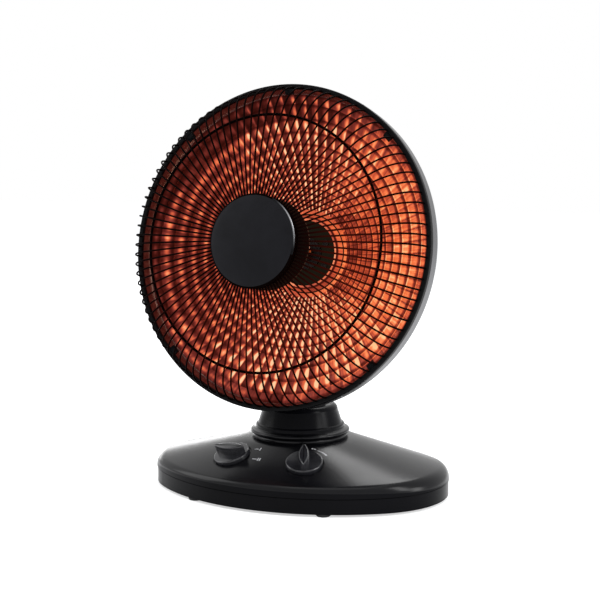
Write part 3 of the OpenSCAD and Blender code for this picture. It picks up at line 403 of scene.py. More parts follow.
cross_steps, long_steps = 8, 12
stations = []
for ring, (outer, inner) in enumerate(zip(ring_edges, ring_edges[1:])):
    stations += [(inner + (outer - inner) * v / long_steps, v / long_steps, outer - inner, ring)
                 for v in range(long_steps, 0, -1)]
bowl_stations = [(lip_r, 1, 0, -1), (lip_r - 1.4, 1, 0, -1), (bowl_top_r, 1, 0, -1)] + stations
bowl_stations += [(r, 0, 0, -1) for r in (50.2, 48, 46, 45.8, 40, 30, 20, 9.2)]
around = sectors * cross_steps
verts = []
for j, (r, v, length, ring) in enumerate(bowl_stations):
    z = {0: 0.0, 1: bowl_top_z + 2.6}.get(j, bowl_height(r))
    lean = math.atan(slope + 2 * curve * max(0, r - flat_r))
    for k in range(around):
        a = 2 * math.pi * k / around
        u, width = (k % cross_steps) / cross_steps, 2 * math.pi * r / sectors
        lift = pillow(u, v, length, width) if length else 0
        lifted_r = r - lift * math.sin(lean)
        verts.append((lifted_r * math.cos(a), lifted_r * math.sin(a), z + lift * math.cos(lean)))
faces = ring_faces(len(bowl_stations), around)
print("dimples:", sectors * (len(ring_edges) - 1), "points:", len(verts))

# %% [markdown]
# ## The painted reflection in the dimples
# A dimple mirrors the coil only where its pillow leans half-way between eye and lamp. So a dimple on
# the left shows the coil as a round spot, one at the top or bottom as a streak along its right edge,
# and one on the right is filled by it. This could be left to traced mirroring, but small mirrors lit
# by a thin coil come out as grain, and they mirror the white room too. So the reflection is painted:
# worked out per point by those three rules, with painted shade beside the hub and under the rim,
# kept in the mesh as a number, coloured by a ramp and given out as emission. It turns and tilts with
# the bowl.

# %% A soft step, and some luck
def fade(distance, reach):
    """1 at no distance, falling smoothly to 0 at the reach."""
    t = max(0.0, 1 - abs(distance) / reach)
    return t * t * (3 - 2 * t)


dice = np.random.default_rng(7)
cell_luck = dice.uniform(-1, 1, (len(ring_edges) - 1, sectors, 3))
print("numbers drawn for the dimples:", cell_luck.size)

# %% Three kinds of painted reflection in a dimple
# In all of them u or across runs across the dimple, v runs along it from its hub end, and luck is
# the dimple's own draw.
def filled_glow(u, v, luck):
    """On the right: a painted reflection of the coil filling it, but for dark sides and a dark bow at the
    far end.
    """
    sides = min(1, (1 - abs(2 * u - 1)) / 0.25 + 0.3)
    bow = v + 0.14 * (2 * u - 1) ** 2
    return (0.77 + 0.12 * luck[1]) * sides * (1 - 0.7 * fade(bow - 1, 0.2)) + 0.4 * fade(v - 0.1, 0.24)


def spotted_glow(u, v, luck):
    """On the left: a painted reflection, a dull patch with one round spot just past its middle."""
    spot = 0.7 * fade(u - 0.5, 0.66) * fade(v - 0.6, 0.32) + 0.14 * fade(u - 0.5 - 0.3 * luck[0], 0.4)
    return 0.92 * (0.23 + spot) * (1 - 0.6 * fade(v - 0.15, 0.25))


def streaked_glow(across, v, up, luck):
    """At the top and bottom: a painted reflection rising across to a bright streak, with a dark line past
    it.
    """
    edge = 0.86 - 0.1 * abs(up) * luck[0] - 0.2 * (1 - abs(up))
    rise = 0.16 + 0.44 * min(1, max(0, across / edge)) ** 2.2 + 0.12 * luck[1] * fade(across - 0.3, 0.3)
    streak = 0.9 * fade(across - edge, 0.36 - 0.26 * abs(v - 0.55)) * fade(v - 0.5 - 0.15 * luck[1], 0.7)
    ends = 1 - 0.5 * fade(v - 1, 0.2) - 0.3 * fade(v, 0.12)
    return 1.2 * (rise + streak) * (1 - 0.85 * fade(across - 1, 0.14)) * ends


def shaded_glow(across, v, luck):
    """At the very bottom: painted shade of the rim, an even dull painted reflection between dark joints."""
    return 0.3 + 0.14 * luck[1] - 0.25 * fade(across - 1, 0.3) - 0.12 * fade(v - 1, 0.3)


print("middle of a filled and of a spotted dimple:", round(filled_glow(0.5, 0.5, (0, 0)), 2),
      round(spotted_glow(0.5, 0.5, (0, 0)), 2))

# %% How strongly the painted reflection shows at each place of the bowl
outer_ring_r, hub_zone_r = ring_edges[1], 50


def painted_light_by_place(far, turn, luck):
    """Strength of the painted reflection: painted shade beside the hub and under the rim, least of all at
    the top left.
    """
    right, up = math.cos(turn), math.sin(turn)
    inner, near_hub = fade(far - hub_zone_r, 78), fade(far - hub_zone_r, 40)
    beside_hub = 0.6 * fade(turn, 1.2) * inner
    above_and_below_hub = 0.5 * near_hub * (fade(turn - 0.75, 0.3) + fade(turn + 0.8, 0.35))
    power = 0.89 + 0.124 * math.cos(turn + 0.92) - 0.061 * math.cos(2 * turn - 0.96)
    power *= 1 - beside_hub - above_and_below_hub
    if far > outer_ring_r and right > 0.2:
        power *= 1 - 0.22 * min(1, (far - outer_ring_r) / 4) * min(1, 4 * (right - 0.2))
    shade_from = outer_ring_r - 16 * min(1, max(0, up - 0.2) * 2)
    if far > shade_from and up > -0.5:
        to_the_left = min(1, max(0, 0.75 - right + 0.5 * min(0, up)))
        power *= 1 - 0.66 * min(1, (far - shade_from) / 6 + 0.3) * to_the_left
    return power * (1 + (0.18 + 0.22 * near_hub) * luck[2])


def dimple_glow(far, turn, u, v, luck):
    """Painted reflection at a point of a dimple, far from the axis, in direction turn (0 is right, a
    quarter up).
    """
    right, up = math.cos(turn), math.sin(turn)
    filled, spotted = max(0, right - 0.1) ** 1.1, max(0, -right) ** 1.3
    streaked = max(0, 1 - filled - spotted)
    across = 0.5 - (u - 0.5) * up
    if far > outer_ring_r and up < -0.5:
        streak = shaded_glow(across, v, luck)
    else:
        streak = streaked_glow(across, v, up, luck)
    mixed = filled * filled_glow(u, v, luck) + spotted * spotted_glow(u, v, luck) + streaked * streak
    return painted_light_by_place(far, turn, luck) * mixed


print("glow half-way out on the right:", round(dimple_glow(110, 0, 0.5, 0.5, (0, 0, 0)), 2))

# %% The painted reflection at every point of the bowl
glow = []
for r, v, length, ring in bowl_stations:
    for k in range(around):
        turn = math.remainder(2 * math.pi * k / around, 2 * math.pi)
        if length:
            luck = cell_luck[ring][k // cross_steps]
            glow.append(dimple_glow(r, turn, (k % cross_steps) / cross_steps, v, luck))
        elif flat_r - 0.1 < r < ring_edges[-1] + 0.8:
            # painted reflection on the plain band between the hub and the first ring of dimples
            glow.append(0.62 + 0.12 * math.cos(2 * turn + 1) + 0.06 * math.cos(turn))
        else:
            # painted reflection: the lip under the rim shines a little at the right, and the flat bottom
            # not at all
            glow.append(0.08 + 0.3 * max(0, math.cos(turn)) ** 3 if r > bowl_top_r - 1 else 0.0)
print("mean glow:", round(float(np.mean(glow)), 3))

# %% [markdown]
# ## The bowl's metal
# Mirrored in aluminium, a hot coil runs from deep brown through red and orange to pale yellow; these
# are the colours of the painted reflection. The number in each point could be made a colour in
# Python, but a ramp in the material is smoother and quick to adjust. Fine strokes that run out from
# the axis, like the marks of the press, break the painted reflection up, and a second number makes
# it rosier where the photograph shows pink.

# %% Colour from the painted reflection number
painted_reflection_colours = [(0, (0.006, 0.0006, 0.0003)), (0.14, (0.06, 0.006, 0.003)), (0.34, (0.24, 0.028, 0.014)),
                (0.54, (0.66, 0.088, 0.028)), (0.72, (0.93, 0.175, 0.048)), (0.9, (1.0, 0.29, 0.095)),
                (1, (1.0, 0.5, 0.2))]
rosy_tint = (1.0, 1.35, 2.1)


def add_glow(material):
    """Colour the mesh's painted reflection number and give it out as emission."""
    tree = material.node_tree
    patches = add_node(tree, "TexNoise", Scale=1.0, Detail=3)
    link(tree, add_attribute(tree, "strokes", "Vector"), patches.inputs["Vector"])
    streaky = add_stretch(tree, patches.outputs["Fac"], 0.76, 1.24)
    level = add_math(tree, "MULTIPLY", add_attribute(tree, "glow"), streaky)
    warm = add_ramp(tree, level, painted_reflection_colours)
    tinted = add_mix(tree, add_attribute(tree, "rosy"), warm, rosy_tint, "MULTIPLY")
    shader = set_inputs(shader_of(material), Emission_Strength=1.0)
    link(tree, tinted, shader.inputs["Emission Color"])


print("stops from brown to pale yellow:", len(painted_reflection_colours))

# %% Numbers kept in a mesh
strokes_round, strokes_apart = 55, 22


def hold(piece, name, numbers):
    """Keep a number for every point of a piece."""
    piece.data.attributes.new(name, "FLOAT", "POINT").data.foreach_set("value", numbers)


def hold_strokes(piece):
    """Keep coordinates for fine strokes that run out from the axis, without a seam."""
    out = []
    for p in drawn_points(piece):
        far = math.hypot(p.x, p.y) or 1
        out += [strokes_round * p.x / far, strokes_round * p.y / far, far / strokes_apart]
    piece.data.attributes.new("strokes", "FLOAT_VECTOR", "POINT").data.foreach_set("vector", out)


print("mm across a stroke, half-way out:", 110 / strokes_round)

# %% The bowl
# The bowl's metal is near-black red: painted shade and red light in place of bright aluminium, so it
# mirrors little of the white room.
bowl_metal_painted_dark = finish("bowl_metal_painted_dark", (0.009, 0.0015, 0.0008), 0.2, 1, mottle=0.3, cloud=70, grain=400,
                    bump=0.04)
bottom_paint_with_painted_light = finish("bottom_paint_with_painted_light", (0.006, 0.007, 0.005), 0.5, spec=0, cloud=80, grain=600, bump=0.2)
# The bottom's dark paint is its own colour; its faint emission is painted light from the coil.
set_inputs(shader_of(bottom_paint_with_painted_light), Emission_Color=(0.008, 0.0062, 0.0035, 1), Emission_Strength=1.0)
lip_metal = finish("lip_metal", (0.06, 0.045, 0.042), 0.3, 1, mottle=0.6, cloud=150, grain=600)
add_glow(bowl_metal_painted_dark)
add_glow(lip_metal)
bowl = add_piece("dimpled_bowl", (verts, faces), head, "head", "reflector_bright", ["reflector"],
                 bowl_metal_painted_dark, sharp=60)
bowl.data.materials.append(bottom_paint_with_painted_light)
bowl.data.materials.append(lip_metal)
hold(bowl, "glow", glow)
hold_strokes(bowl)
# The rosy number tints the painted reflection: pinker at the left, at the top and bottom, and far out.
rosy = []
for p in verts:
    far, turn = polar(p)
    pink = 0.55 * max(0, -math.cos(turn)) + 0.5 * abs(math.sin(turn)) ** 3
    pink += 0.5 * max(0, far / 60 - 2.45)
    rosy.append(min(1, 0.1 + pink))
hold(bowl, "rosy", rosy)
for face in bowl.data.polygons:
    reach = polar(to_head @ face.center * 1000)[0]
    face.material_index = 1 if reach < flat_r else 2 if reach > bowl_top_r + 0.3 else 0

# %% [markdown]
# ## Trim ring
# A bright ring with a rolled front edge closes the hole in the bottom of the bowl. Seen through the
# wires it draws one thin pink line, then a dark gap, then a band: a painted reflection, given out as
# emission over metal darkened red as painted shade. It could be cut from the bowl's own mesh, but the
# real one is a part of its own, so it is turned from its own section.

# %% Trim ring at the bottom of the bowl
trim_section = [(44.5, -74), (42.0, -68.9), (41.2, -67.2)] + arc(39.6, -67.4, 1.6, 10, 90, 6)
trim_section += [(37.9, -66), (37.5, -66.5), (37.9, -67), (39.7, -67), (43.3, -74)]
trim_metal = finish("trim_metal", (0.03, 0.008, 0.006), 0.25, 1, bump=0.05)
add_glow(trim_metal)
trim = add_piece("hub_trim", turned(trim_section, 144), head, "head", "hub_bright", ["hub_ring"],
                 trim_metal)
line_r, gap_r = 39.9, 41.9
trim_glow, trim_rosy = [], []
for p in drawn_points(trim):
    far, turn = polar(p)
    # painted reflection: a thin pink line inside, a dark gap, then a band
    line = 0.62 + 0.14 * math.cos(3 * turn + 0.6) + 0.08 * math.cos(7 * turn)
    band = 0.52 + 0.12 * math.cos(2 * turn - 0.9)
    trim_glow.append(line if far < line_r else 0.1 if far < gap_r else band)
    trim_rosy.append(1.0 if far < line_r else 0.3)
hold(trim, "glow", trim_glow)
hold(trim, "rosy", trim_rosy)
hold_strokes(trim)

# %% [markdown]
# ## The coil
# The heating wire is wound on a cone of white ceramic, wide end forward. What the bowl shows is this
# coil, seen hundreds of times over. A screw modifier could wind it, but a line written as a helix
# gives the taper at once. Its forward side is painted dim, a painted shade, and only its turned-away
# side keeps the full brightness. It lights the bowl alone, so that the guard in front stays dark.

# %% The coil's line
former_tip_z, former_tip_r, former_slope = -16.0, 20.5, 28 / 41
coil_start, coil_end, loops, loop_steps, coil_wire_r = 22.4, -13.0, 13, 36, 1.0
coil_lift = 1.3 / math.cos(math.atan(former_slope))
coil_tail = Vector((0, 3.2, 0))
coil_line = []
for i in range(loops * loop_steps + 1):
    u = i / (loops * loop_steps)
    z = coil_start + (coil_end - coil_start) * u
    r = former_tip_r + (z - former_tip_z) * former_slope + coil_lift
    a = 2 * math.pi * loops * u
    coil_line.append(Vector((r * math.cos(a), r * math.sin(a), z)))
coil_line = [coil_line[0] - coil_tail] + coil_line + [coil_line[-1] + coil_tail]
print("loops:", loops, "points on the line:", len(coil_line))

# %% The glowing coil
def glowing_wire(name, strength, cool, hot):
    """Hot wire whose light wanders between two tones along its length."""
    material, tree, shader = new_material(name)
    set_inputs(shader, Base_Color=(0.2, 0.06, 0.03, 1), Roughness=0.6, Emission_Strength=strength)
    clouds = add_node(tree, "TexNoise", Scale=60)
    link(tree, add_node(tree, "TexCoord").outputs["Object"], clouds.inputs["Vector"])
    tone = add_ramp(tree, clouds.outputs["Fac"], [(0.3, cool), (0.65, hot)])
    link(tree, tone, shader.inputs["Emission Color"])
    return material


coil_heat = glowing_wire("coil_heat", 40.0, (0.8, 0.5, 0.3), (1.0, 0.75, 0.5))
coil_front_painted_shade = glowing_wire("coil_front_painted_shade", 1.5, (0.7, 0.2, 0.13), (1.0, 0.45, 0.3))
coil = add_piece("glowing_coil", rod_along(coil_line, coil_wire_r, 8), head, "head", "coil_glow",
                 ["heater_coil"], coil_heat)
coil.data.materials.append(coil_front_painted_shade)
forward = head.to_3x3() @ Vector((0, 0, 1))
# Faces that look forward take the dim wire, a painted shade; only the faces turned back stay fully bright.
for face in coil.data.polygons:
    face.material_index = 1 if face.normal.dot(forward) > -0.85 else 0
coil.visible_diffuse = False
mirrors = bpy.data.collections.new("mirrors_of_the_coil")
mirrors.objects.link(bowl)
coil.light_linking.receiver_collection = mirrors

# %% [markdown]
# ## The guard
# Ninety-six round wires are welded to a ring behind the centre cap and tucked under the rolled rim.
# They leave the rim steeply, bend over at the shoulder, and run along a shallow dome, tied together
# by a thicker ring wire behind them. They could be curves with a round bevel. Here each is a rod
# along the CAD model's own two arcs, so that the mesh is closed and its radius exact. A dark red
# light from the bowl is painted on the wires as emission, mostly at the right and near the middle.

# %% Guard wires
wire_count, wire_r = 96, 1.0
dome_c, dome_r = 509.2, 569.67
bend_c_r, bend_c_z, bend_r, foot_a, bend_a = 136.5, 2.58, 40.0, 2.09, 75.07
hub_in_r, hub_out_r, hub_back, cap_back = 44, 50, 54.0, 59.77
dome_end_a = math.degrees(math.acos((hub_in_r + wire_r) / dome_r))
wire_section = arc(bend_c_r, bend_c_z, bend_r, foot_a, bend_a, 14)
wire_section += arc(0, -dome_c, dome_r, bend_a, dome_end_a, 12)[1:]
parts = []
for i in range(wire_count):
    a = math.radians((i + 0.5) * 360 / wire_count)
    parts.append(rod_along([(r * math.cos(a), r * math.sin(a), z) for r, z in wire_section], wire_r, 10))
hub_section = [(hub_in_r, hub_back), (hub_out_r, hub_back), (hub_out_r, cap_back), (hub_in_r, cap_back)]
parts.append(turned(hub_section, 144))
wire_with_painted_light = finish("wire_with_painted_light", **wire_look)
wires = add_piece("guard_wires_round", joined(parts), head, "head", "wire_black", ["guard_wires"],
                  wire_with_painted_light)

# %% The red light painted on the wires
lit_shader = set_inputs(shader_of(wire_with_painted_light), Emission_Color=(0.04, 0.0035, 0.0015, 1))
painted_bowl_light = add_attribute(wire_with_painted_light.node_tree, "painted_bowl_light")
link(wire_with_painted_light.node_tree, painted_bowl_light, lit_shader.inputs["Emission Strength"])
# Each point holds how much painted red light it shows: most at the right and near the middle.
red_glow = []
for p in drawn_points(wires):
    far, turn = polar(p)
    red_glow.append(max(0, 0.45 + 0.45 * math.cos(turn) - 0.25 * math.sin(turn)) * fade(far - 110, 62))
hold(wires, "painted_bowl_light", red_glow)
print("points that catch it:", sum(number > 0 for number in red_glow), "of", len(red_glow))

# %% Ring wire
ring_r, ring_z, ring_half = 140, 40.4, 1.5
turns = np.linspace(0, 2 * math.pi, 241)[:-1]
ring_line = [(ring_r * math.cos(a), ring_r * math.sin(a), ring_z) for a in turns]
add_piece("guard_ring_wire", rod_along(ring_line, ring_half, 12, True), head, "head", "wire_black",
          ["guard_ring"])

# %% [markdown]
# ## Centre cap
# A pressed disc, slightly crowned, covers the middle of the guard. A thin bright crescent runs down
# its upper right edge: a painted highlight. A stronger lamp could draw it, but would light everything
# else too. So each point of the upper right edge holds how strong the painted highlight is, and the
# finish goes from black enamel to bright metal by it.

# %% Centre cap
cap_r, cap_edge, crown, soft_r = 51.2, 3.4, 3.0, 2.4
crown_r = (cap_r ** 2 + crown ** 2) / (2 * crown)
crown_a = math.degrees(math.acos((cap_r - soft_r) / crown_r))
soft_z = cap_back + cap_edge - soft_r
cap_section = [(0.0, cap_back), (hub_in_r, cap_back), (cap_r - 0.4, cap_back), (cap_r, cap_back + 0.4)]
cap_section += arc(cap_r - soft_r, soft_z, soft_r, 0, 84, 10)
cap_section += arc(0, cap_back + cap_edge + crown - crown_r, crown_r, crown_a + 0.6, 90, 16)
cap = add_piece("centre_cap", turned(cap_section, 144), head, "head", "cap_black", ["guard_cap"])

# %% The cap's edge, with a painted highlight
painted_highlight_colour = (0.5, 0.5, 0.52)
cap_edge_painted_highlight = finish("cap_edge_painted_highlight", (0.004, 0.004, 0.005), 0.22, spec=0.05, cloud=60, bump=0.03)
tree, shader = cap_edge_painted_highlight.node_tree, shader_of(cap_edge_painted_highlight)
painted_highlight_mask = add_attribute(tree, "painted_highlight")
enamel_colour = shader.inputs["Base Color"].links[0].from_socket
link(tree, add_mix(tree, painted_highlight_mask, enamel_colour, painted_highlight_colour), shader.inputs["Base Color"])
link(tree, painted_highlight_mask, shader.inputs["Metallic"])
cap.data.materials.append(cap_edge_painted_highlight)
cap.data.materials.append(wire_enamel)
# The upper right of the rounding takes the finish with the painted highlight; the rest of it takes the dull
# wire enamel.
for face in cap.data.polygons:
    p = to_head @ face.center * 1000
    far, turn = polar(p)
    if far > cap_r - soft_r - 0.05:
        face.material_index = 1 if -14 < math.degrees(turn) < 66 and p.z > cap_back + 1.9 else 2
# The painted highlight: strongest at 26 degrees up on the right, on the outer part of the rounding.
painted_highlight = []
for p in drawn_points(cap):
    far, turn = polar(p)
    lean = math.degrees(math.atan2(far - cap_r + soft_r, p.z - soft_z))
    painted_highlight.append(fade(math.degrees(turn) - 26, 36) * 0.8 * fade(lean - 40, 30))
hold(cap, "painted_highlight", painted_highlight)
print("points on the bright crescent:", sum(number > 0 for number in painted_highlight))

# %% [markdown]
# ## Rim and shell
# The rolled black rim holds the guard's wires and the bowl together. Behind it is a plain spun shell,
# left silver. They could be cylinders with bevelled edges, but a drawn section puts each soft corner
# at its true radius, and it is the corners that catch the light.

# %% Rim ring
rim_r, rim_in, rim_front = 181.0, 175.2, 4.0
rim_section = [(rim_in, 0)] + arc(rim_in + 1.6, rim_front - 1.6, 1.6, 180, 90, 8)
rim_section += arc(rim_r - 1.6, rim_front - 1.6, 1.6, 90, 0, 8)
rim_section += [(rim_r, -2.2), (rim_r - 0.2, -2.4), (rim_r - 0.9, -2.4), (rim_r - 0.9, 0)]
add_piece("rolled_rim", turned(rim_section, 288), head, "head", "rim_black", ["rim_ring"])

# %% Back shell
shell_r, wall, corner = 180.0, 16.0, 12.0
lean = math.degrees(math.atan(0.5))
corner_r = shell_r - corner
tangent = (corner_r + corner * math.sin(math.radians(lean)),
           -wall - corner * math.cos(math.radians(lean)))
shell_back = -tangent[1] + 0.5 * (tangent[0] - 60)
shell_section = [(177.2, -0.8), (shell_r - 0.3, -0.8), (shell_r, -1.1)]
shell_section += arc(corner_r, -wall, corner, 0, lean - 90, 14) + [(60, -shell_back), (8.2, -shell_back)]
shell_section += [(8.2, -shell_back + 1), (59.5, -shell_back + 1)]
shell_section += arc(corner_r, -wall, corner - 1, lean - 90, 0, 14) + [(179, -1.8), (177.2, -1.8)]
add_piece("spun_shell", turned(shell_section, 288), head, "head", "shell_silver", ["back_shell"])
print("shell depth, mm:", round(shell_back, 1))

# %% [markdown]
# ## Neck
# Between base and head sits a stepped black cup that turns with the head. The CAD part could stay, but
# its bead, step and rounded shoulder each draw a line in the light, so it is turned afresh with
# finer corners. The bead at its foot is glossier than the rest.

# %% Neck cup
cup_z0, cup_top, cup_wall = 66.3, 99.0, 2.5
cup_r, cup_top_r, bead_r, shoulder = 48.2, 43.4, 57.0, 7.0
flat_top = cup_top_r - shoulder
cup_section = [(bead_r - 3.5, cup_z0), (bead_r - 1.2, cup_z0)]
cup_section += arc(bead_r - 2.3, cup_z0 + 2.3, 2.3, -50, 80, 12)
cup_section += [(bead_r - 5.2, cup_z0 + 5.2), (cup_r + 2.6, cup_z0 + 6)]
cup_section += arc(cup_r + 1.2, cup_z0 + 9, 1.4, 0, 90, 8) + [(cup_r, cup_z0 + 11)]
cup_section += arc(flat_top, cup_top - shoulder, shoulder, 4, 90, 14)
cup_section += [(8, cup_top), (8, cup_top - cup_wall)]
cup_section += arc(flat_top, cup_top - shoulder, shoulder - cup_wall, 90, 4, 14)
cup_section += [(cup_r - cup_wall, cup_z0 + 11), (cup_r - cup_wall, cup_z0 + 7)]
cup = add_piece("stepped_cup", turned(cup_section, 160), room, "neck", "base_black", ["neck_cup"],
                base_satin)
cup.data.materials.append(base_plastic)
for face in cup.data.polygons:
    face.material_index = 1 if 1000 * face.center.z < cup_z0 + 6 else 0

# %% Collar under the cup
collar_section = [(22, 62.5), (54.4, 62.5)] + arc(53.4, 63.7, 1, 0, 20, 4)
collar_section += arc(52.2, 64.6, 1.4, 20, 90, 8) + [(22, 66.0)]
add_piece("collar", turned(collar_section, 160), room, "base", "base_black", ["neck_collar"])

# %% [markdown]
# ## Base cover
# The cover is a low tent: a round flat top, an oval edge whose rounding is generous at the ends and
# crisp at the front, and slopes between them that are straight in every direction. It could be
# sculpted or lofted, but then the straight slopes go soft. It is written from the same outline as
# the CAD part, an oval of four arcs, with a point every degree instead of every five.

# %% The oval
half_w, half_d, end_r = 176.5, 127.5, 100.0
flank_r = ((half_w - end_r) ** 2 + half_d ** 2 - end_r ** 2) / (2 * (half_d - end_r))
flank_lean = math.atan2(flank_r - half_d, half_w - end_r)
cover_z0, cover_top_z, cover_top_r, cover_round = 20.2, 62.5, 56.0, 16.0


def oval_point(a, inset):
    """The point of the oval whose outward direction is a (radians), set in by inset."""
    if abs(math.sin(a)) < math.sin(flank_lean):
        return (math.copysign(half_w - end_r, math.cos(a)) + (end_r - inset) * math.cos(a),
                (end_r - inset) * math.sin(a))
    return ((flank_r - inset) * math.cos(a),
            math.copysign(1, math.sin(a)) * (half_d - flank_r) + (flank_r - inset) * math.sin(a))


def round_turn(a):
    """How far the edge's rounding turns before the slope leaves it, in radians."""
    x, y = oval_point(a, 0)
    run = x * math.cos(a) + y * math.sin(a) - cover_round - cover_top_r
    rise = cover_top_z - cover_z0
    return math.pi - math.atan2(rise, run) - math.acos(cover_round / math.hypot(run, rise))


print("rounding at the end and at the front, degrees:", round(math.degrees(round_turn(0)), 1),
      round(math.degrees(round_turn(math.pi / 2)), 1))

# %% The cover's skin
def edge_ring(a, inset, share):
    """A point of the edge's rounding, which is soft at the ends and crisp at the front and back."""
    turn = round_turn(a)
    r = cover_round - 9 * math.sin(a) ** 2
    start = cover_z0 + (cover_round - r) * math.tan(turn / 2)
    x, y = oval_point(a, r - (r - inset) * math.cos(share * turn))
    return x, y, start + (r - inset) * math.sin(share * turn)


def skin_rings(inset):
    """Rings of points up the cover, for a skin that lies inset inside the outer one."""
    turns = [math.radians(a) for a in range(360)]
    rings = [[(*oval_point(a, inset), cover_z0) for a in turns]]
    rings += [[edge_ring(a, inset, s / 12) for a in turns] for s in range(13)]
    foot, top_r = rings[-1], cover_top_r - inset * 0.2
    top = [(top_r * math.cos(a), top_r * math.sin(a), cover_top_z - inset) for a in turns]
    for s in range(1, 9):
        rings.append([tuple(p + (q - p) * s / 8 for p, q in zip(f, t)) for f, t in zip(foot, top)])
    rings.append([(x * 22 / top_r, y * 22 / top_r, z) for x, y, z in top])
    return rings


outer, inner = skin_rings(0), skin_rings(2.6)
rings = outer + inner[::-1]
cover_verts = [p for ring in rings for p in ring]
cover_faces = ring_faces(len(rings), 360, True)
cover = add_piece("base_tent", (cover_verts, cover_faces), room, "base", "base_black", ["base_cover"],
                  sharp=50)

# %% The knobs' frames
knob_dir, knob_share, recess_depth = math.radians(70.5), 0.51, 1.6
knob_turn = round_turn(knob_dir)
edge_point = oval_point(knob_dir, cover_round * (1 - math.cos(knob_turn)))
top_point = (cover_top_r * math.cos(knob_dir), cover_top_r * math.sin(knob_dir))
knob_xy = [t + knob_share * (e - t) for t, e in zip(top_point, edge_point)]
knob_z = cover_top_z + knob_share * (cover_z0 + cover_round * math.sin(knob_turn) - cover_top_z)


def knob_frame(side):
    """The frame of a knob: its middle on the slope, Z square to the slope. side is -1 or 1."""
    direction = -knob_dir if side > 0 else knob_dir - math.pi
    return (Matrix.Translation((side * knob_xy[0] / 1000, -knob_xy[1] / 1000, knob_z / 1000))
            @ Matrix.Rotation(direction, 4, "Z") @ Matrix.Rotation(math.pi / 2 - knob_turn, 4, "Y"))


print("right knob's middle, mm:", [round(1000 * v, 1) for v in knob_frame(1).translation])

# %% [markdown]
# ## Seats for the knobs
# Two round seats are sunk into the front of the cover. They could be modelled into its rings of
# points, but they lie across them. It is simpler to do as a workshop does, and cut them with a
# turned tool: here a closed solid, taken away from the cover.

# %% Cutting the seats
seat_r, seat_mouth_r = 21.7, 23.2
seat_section = [(0, -recess_depth), (seat_r, -recess_depth), (seat_r, -0.6), (seat_mouth_r, 0.9),
                (seat_mouth_r, 8), (0, 8)]
for side, seat_name in ((-1, "seat_left"), (1, "seat_right")):
    tool_mesh = clean_mesh(seat_name, *turned(seat_section, 96), knob_frame(side))
    cutter = bpy.data.objects.new(seat_name, tool_mesh)
    bpy.context.scene.collection.objects.link(cutter)
    cut = cover.modifiers.new(seat_name, "BOOLEAN")
    cut.object, cut.operation, cut.solver = cutter, "DIFFERENCE", "EXACT"
    bpy.context.view_layer.update()
    with_seat = cover.evaluated_get(bpy.context.evaluated_depsgraph_get())
    ready = bpy.data.meshes.new_from_object(with_seat)
    cover.modifiers.clear()
    cover.data = ready
    bpy.data.objects.remove(cutter)
print("cover with its seats:", len(cover.data.polygons), "faces")

# %% [markdown]
# ## Marks beside the knobs
# Printed marks tell the user where each knob stands: one bar and two bars for the two heats, two dots
# and a growing wedge for the thermostat. A painted picture blurs at this size. So they are drawn as
# strokes in the knob's own frame and laid on the curved cover point by point, as plates as thin as
# a film of ink.

# %% Strokes of the marks
def stroke(x0, y0, x1, y1, w0, w1=None, steps=1):
    """A flat bar from one point to another, w0 wide at its start and w1 at its end."""
    w1 = w0 if w1 is None else w1
    far = math.hypot(x1 - x0, y1 - y0)
    nx, ny = (y0 - y1) / far, (x1 - x0) / far
    flat, faces = [], []
    for i in range(steps + 1):
        t = i / steps
        x, y, w = x0 + (x1 - x0) * t, y0 + (y1 - y0) * t, (w0 + (w1 - w0) * t) / 2
        flat += [(x - nx * w, y - ny * w), (x + nx * w, y + ny * w)]
        if i:
            n = 2 * i
            faces.append((n - 2, n, n + 1, n - 1))
    return flat, faces


def glyph(cx, cy, lines):
    """Strokes of a sign, drawn upright in millimetres and turned to stand level for the viewer."""
    parts = []
    for line in lines:
        ends = [(cx - 0.3 * x - 0.955 * y, cy + 0.955 * x - 0.3 * y) for x, y in (line[:2], line[2:])]
        parts.append(stroke(*ends[0], *ends[1], 1.1, steps=2))
    return parts


dash = (-6.4, 0, -1.2, 0)
one_bar = [dash, (1.2, -2.4, 1.2, 2.4)]
two_bars = [dash, (0.8, -2.4, 0.8, 2.4), (3.2, -2.4, 3.2, 2.4)]
left_marks = glyph(-21.4, 23.2, one_bar) + glyph(-5.6, 35.0, two_bars)
right_marks = []
for a in (11, 16.5):
    x, y = -30 * math.cos(math.radians(a)), 30 * math.sin(math.radians(a))
    right_marks.append(stroke(x - 0.9, y, x + 0.9, y, 1.7))
wedge = [(-29 * math.cos(math.radians(a)), 29 * math.sin(math.radians(a))) for a in range(23, 52, 4)]
for i, (start, end) in enumerate(zip(wedge, wedge[1:])):
    right_marks.append(stroke(*start, *end, 0.5 + 0.22 * i, 0.72 + 0.22 * i))
print("strokes:", len(left_marks) + len(right_marks))

# %% Laying the marks on the cover
ink_above, ink_below = 0.00015, 0.00005
tool = bmesh.new()
tool.from_mesh(cover.data)
skin = BVHTree.FromBMesh(tool)
mark_count = 0
for side, marks in ((-1, left_marks), (1, right_marks)):
    place = knob_frame(side)
    down = (place.to_3x3() @ Vector((0, 0, -1))).normalized()
    for flat, faces in marks:
        hits = [skin.ray_cast(place @ Vector((x / 1000, y / 1000, 0.02)), down)[0] for x, y in flat]
        ink = [tool.verts.new(hit - down * ink_above) for hit in hits]
        foot = [tool.verts.new(hit + down * ink_below) for hit in hits]
        edge = list(range(0, len(flat), 2)) + list(range(len(flat) - 1, 0, -2))
        plate = [[ink[i] for i in corners] for corners in faces]
        plate += [[foot[i] for i in corners[::-1]] for corners in faces]
        plate += [[ink[i], foot[i], foot[j], ink[j]] for i, j in zip(edge, edge[1:] + edge[:1])]
        made = [tool.faces.new(corners) for corners in plate]
        bmesh.ops.recalc_face_normals(tool, faces=made)
        for face in made:
            face.material_index = 1
        mark_count += len(made)
tool.to_mesh(cover.data)
tool.free()
print("faces of the marks:", mark_count)

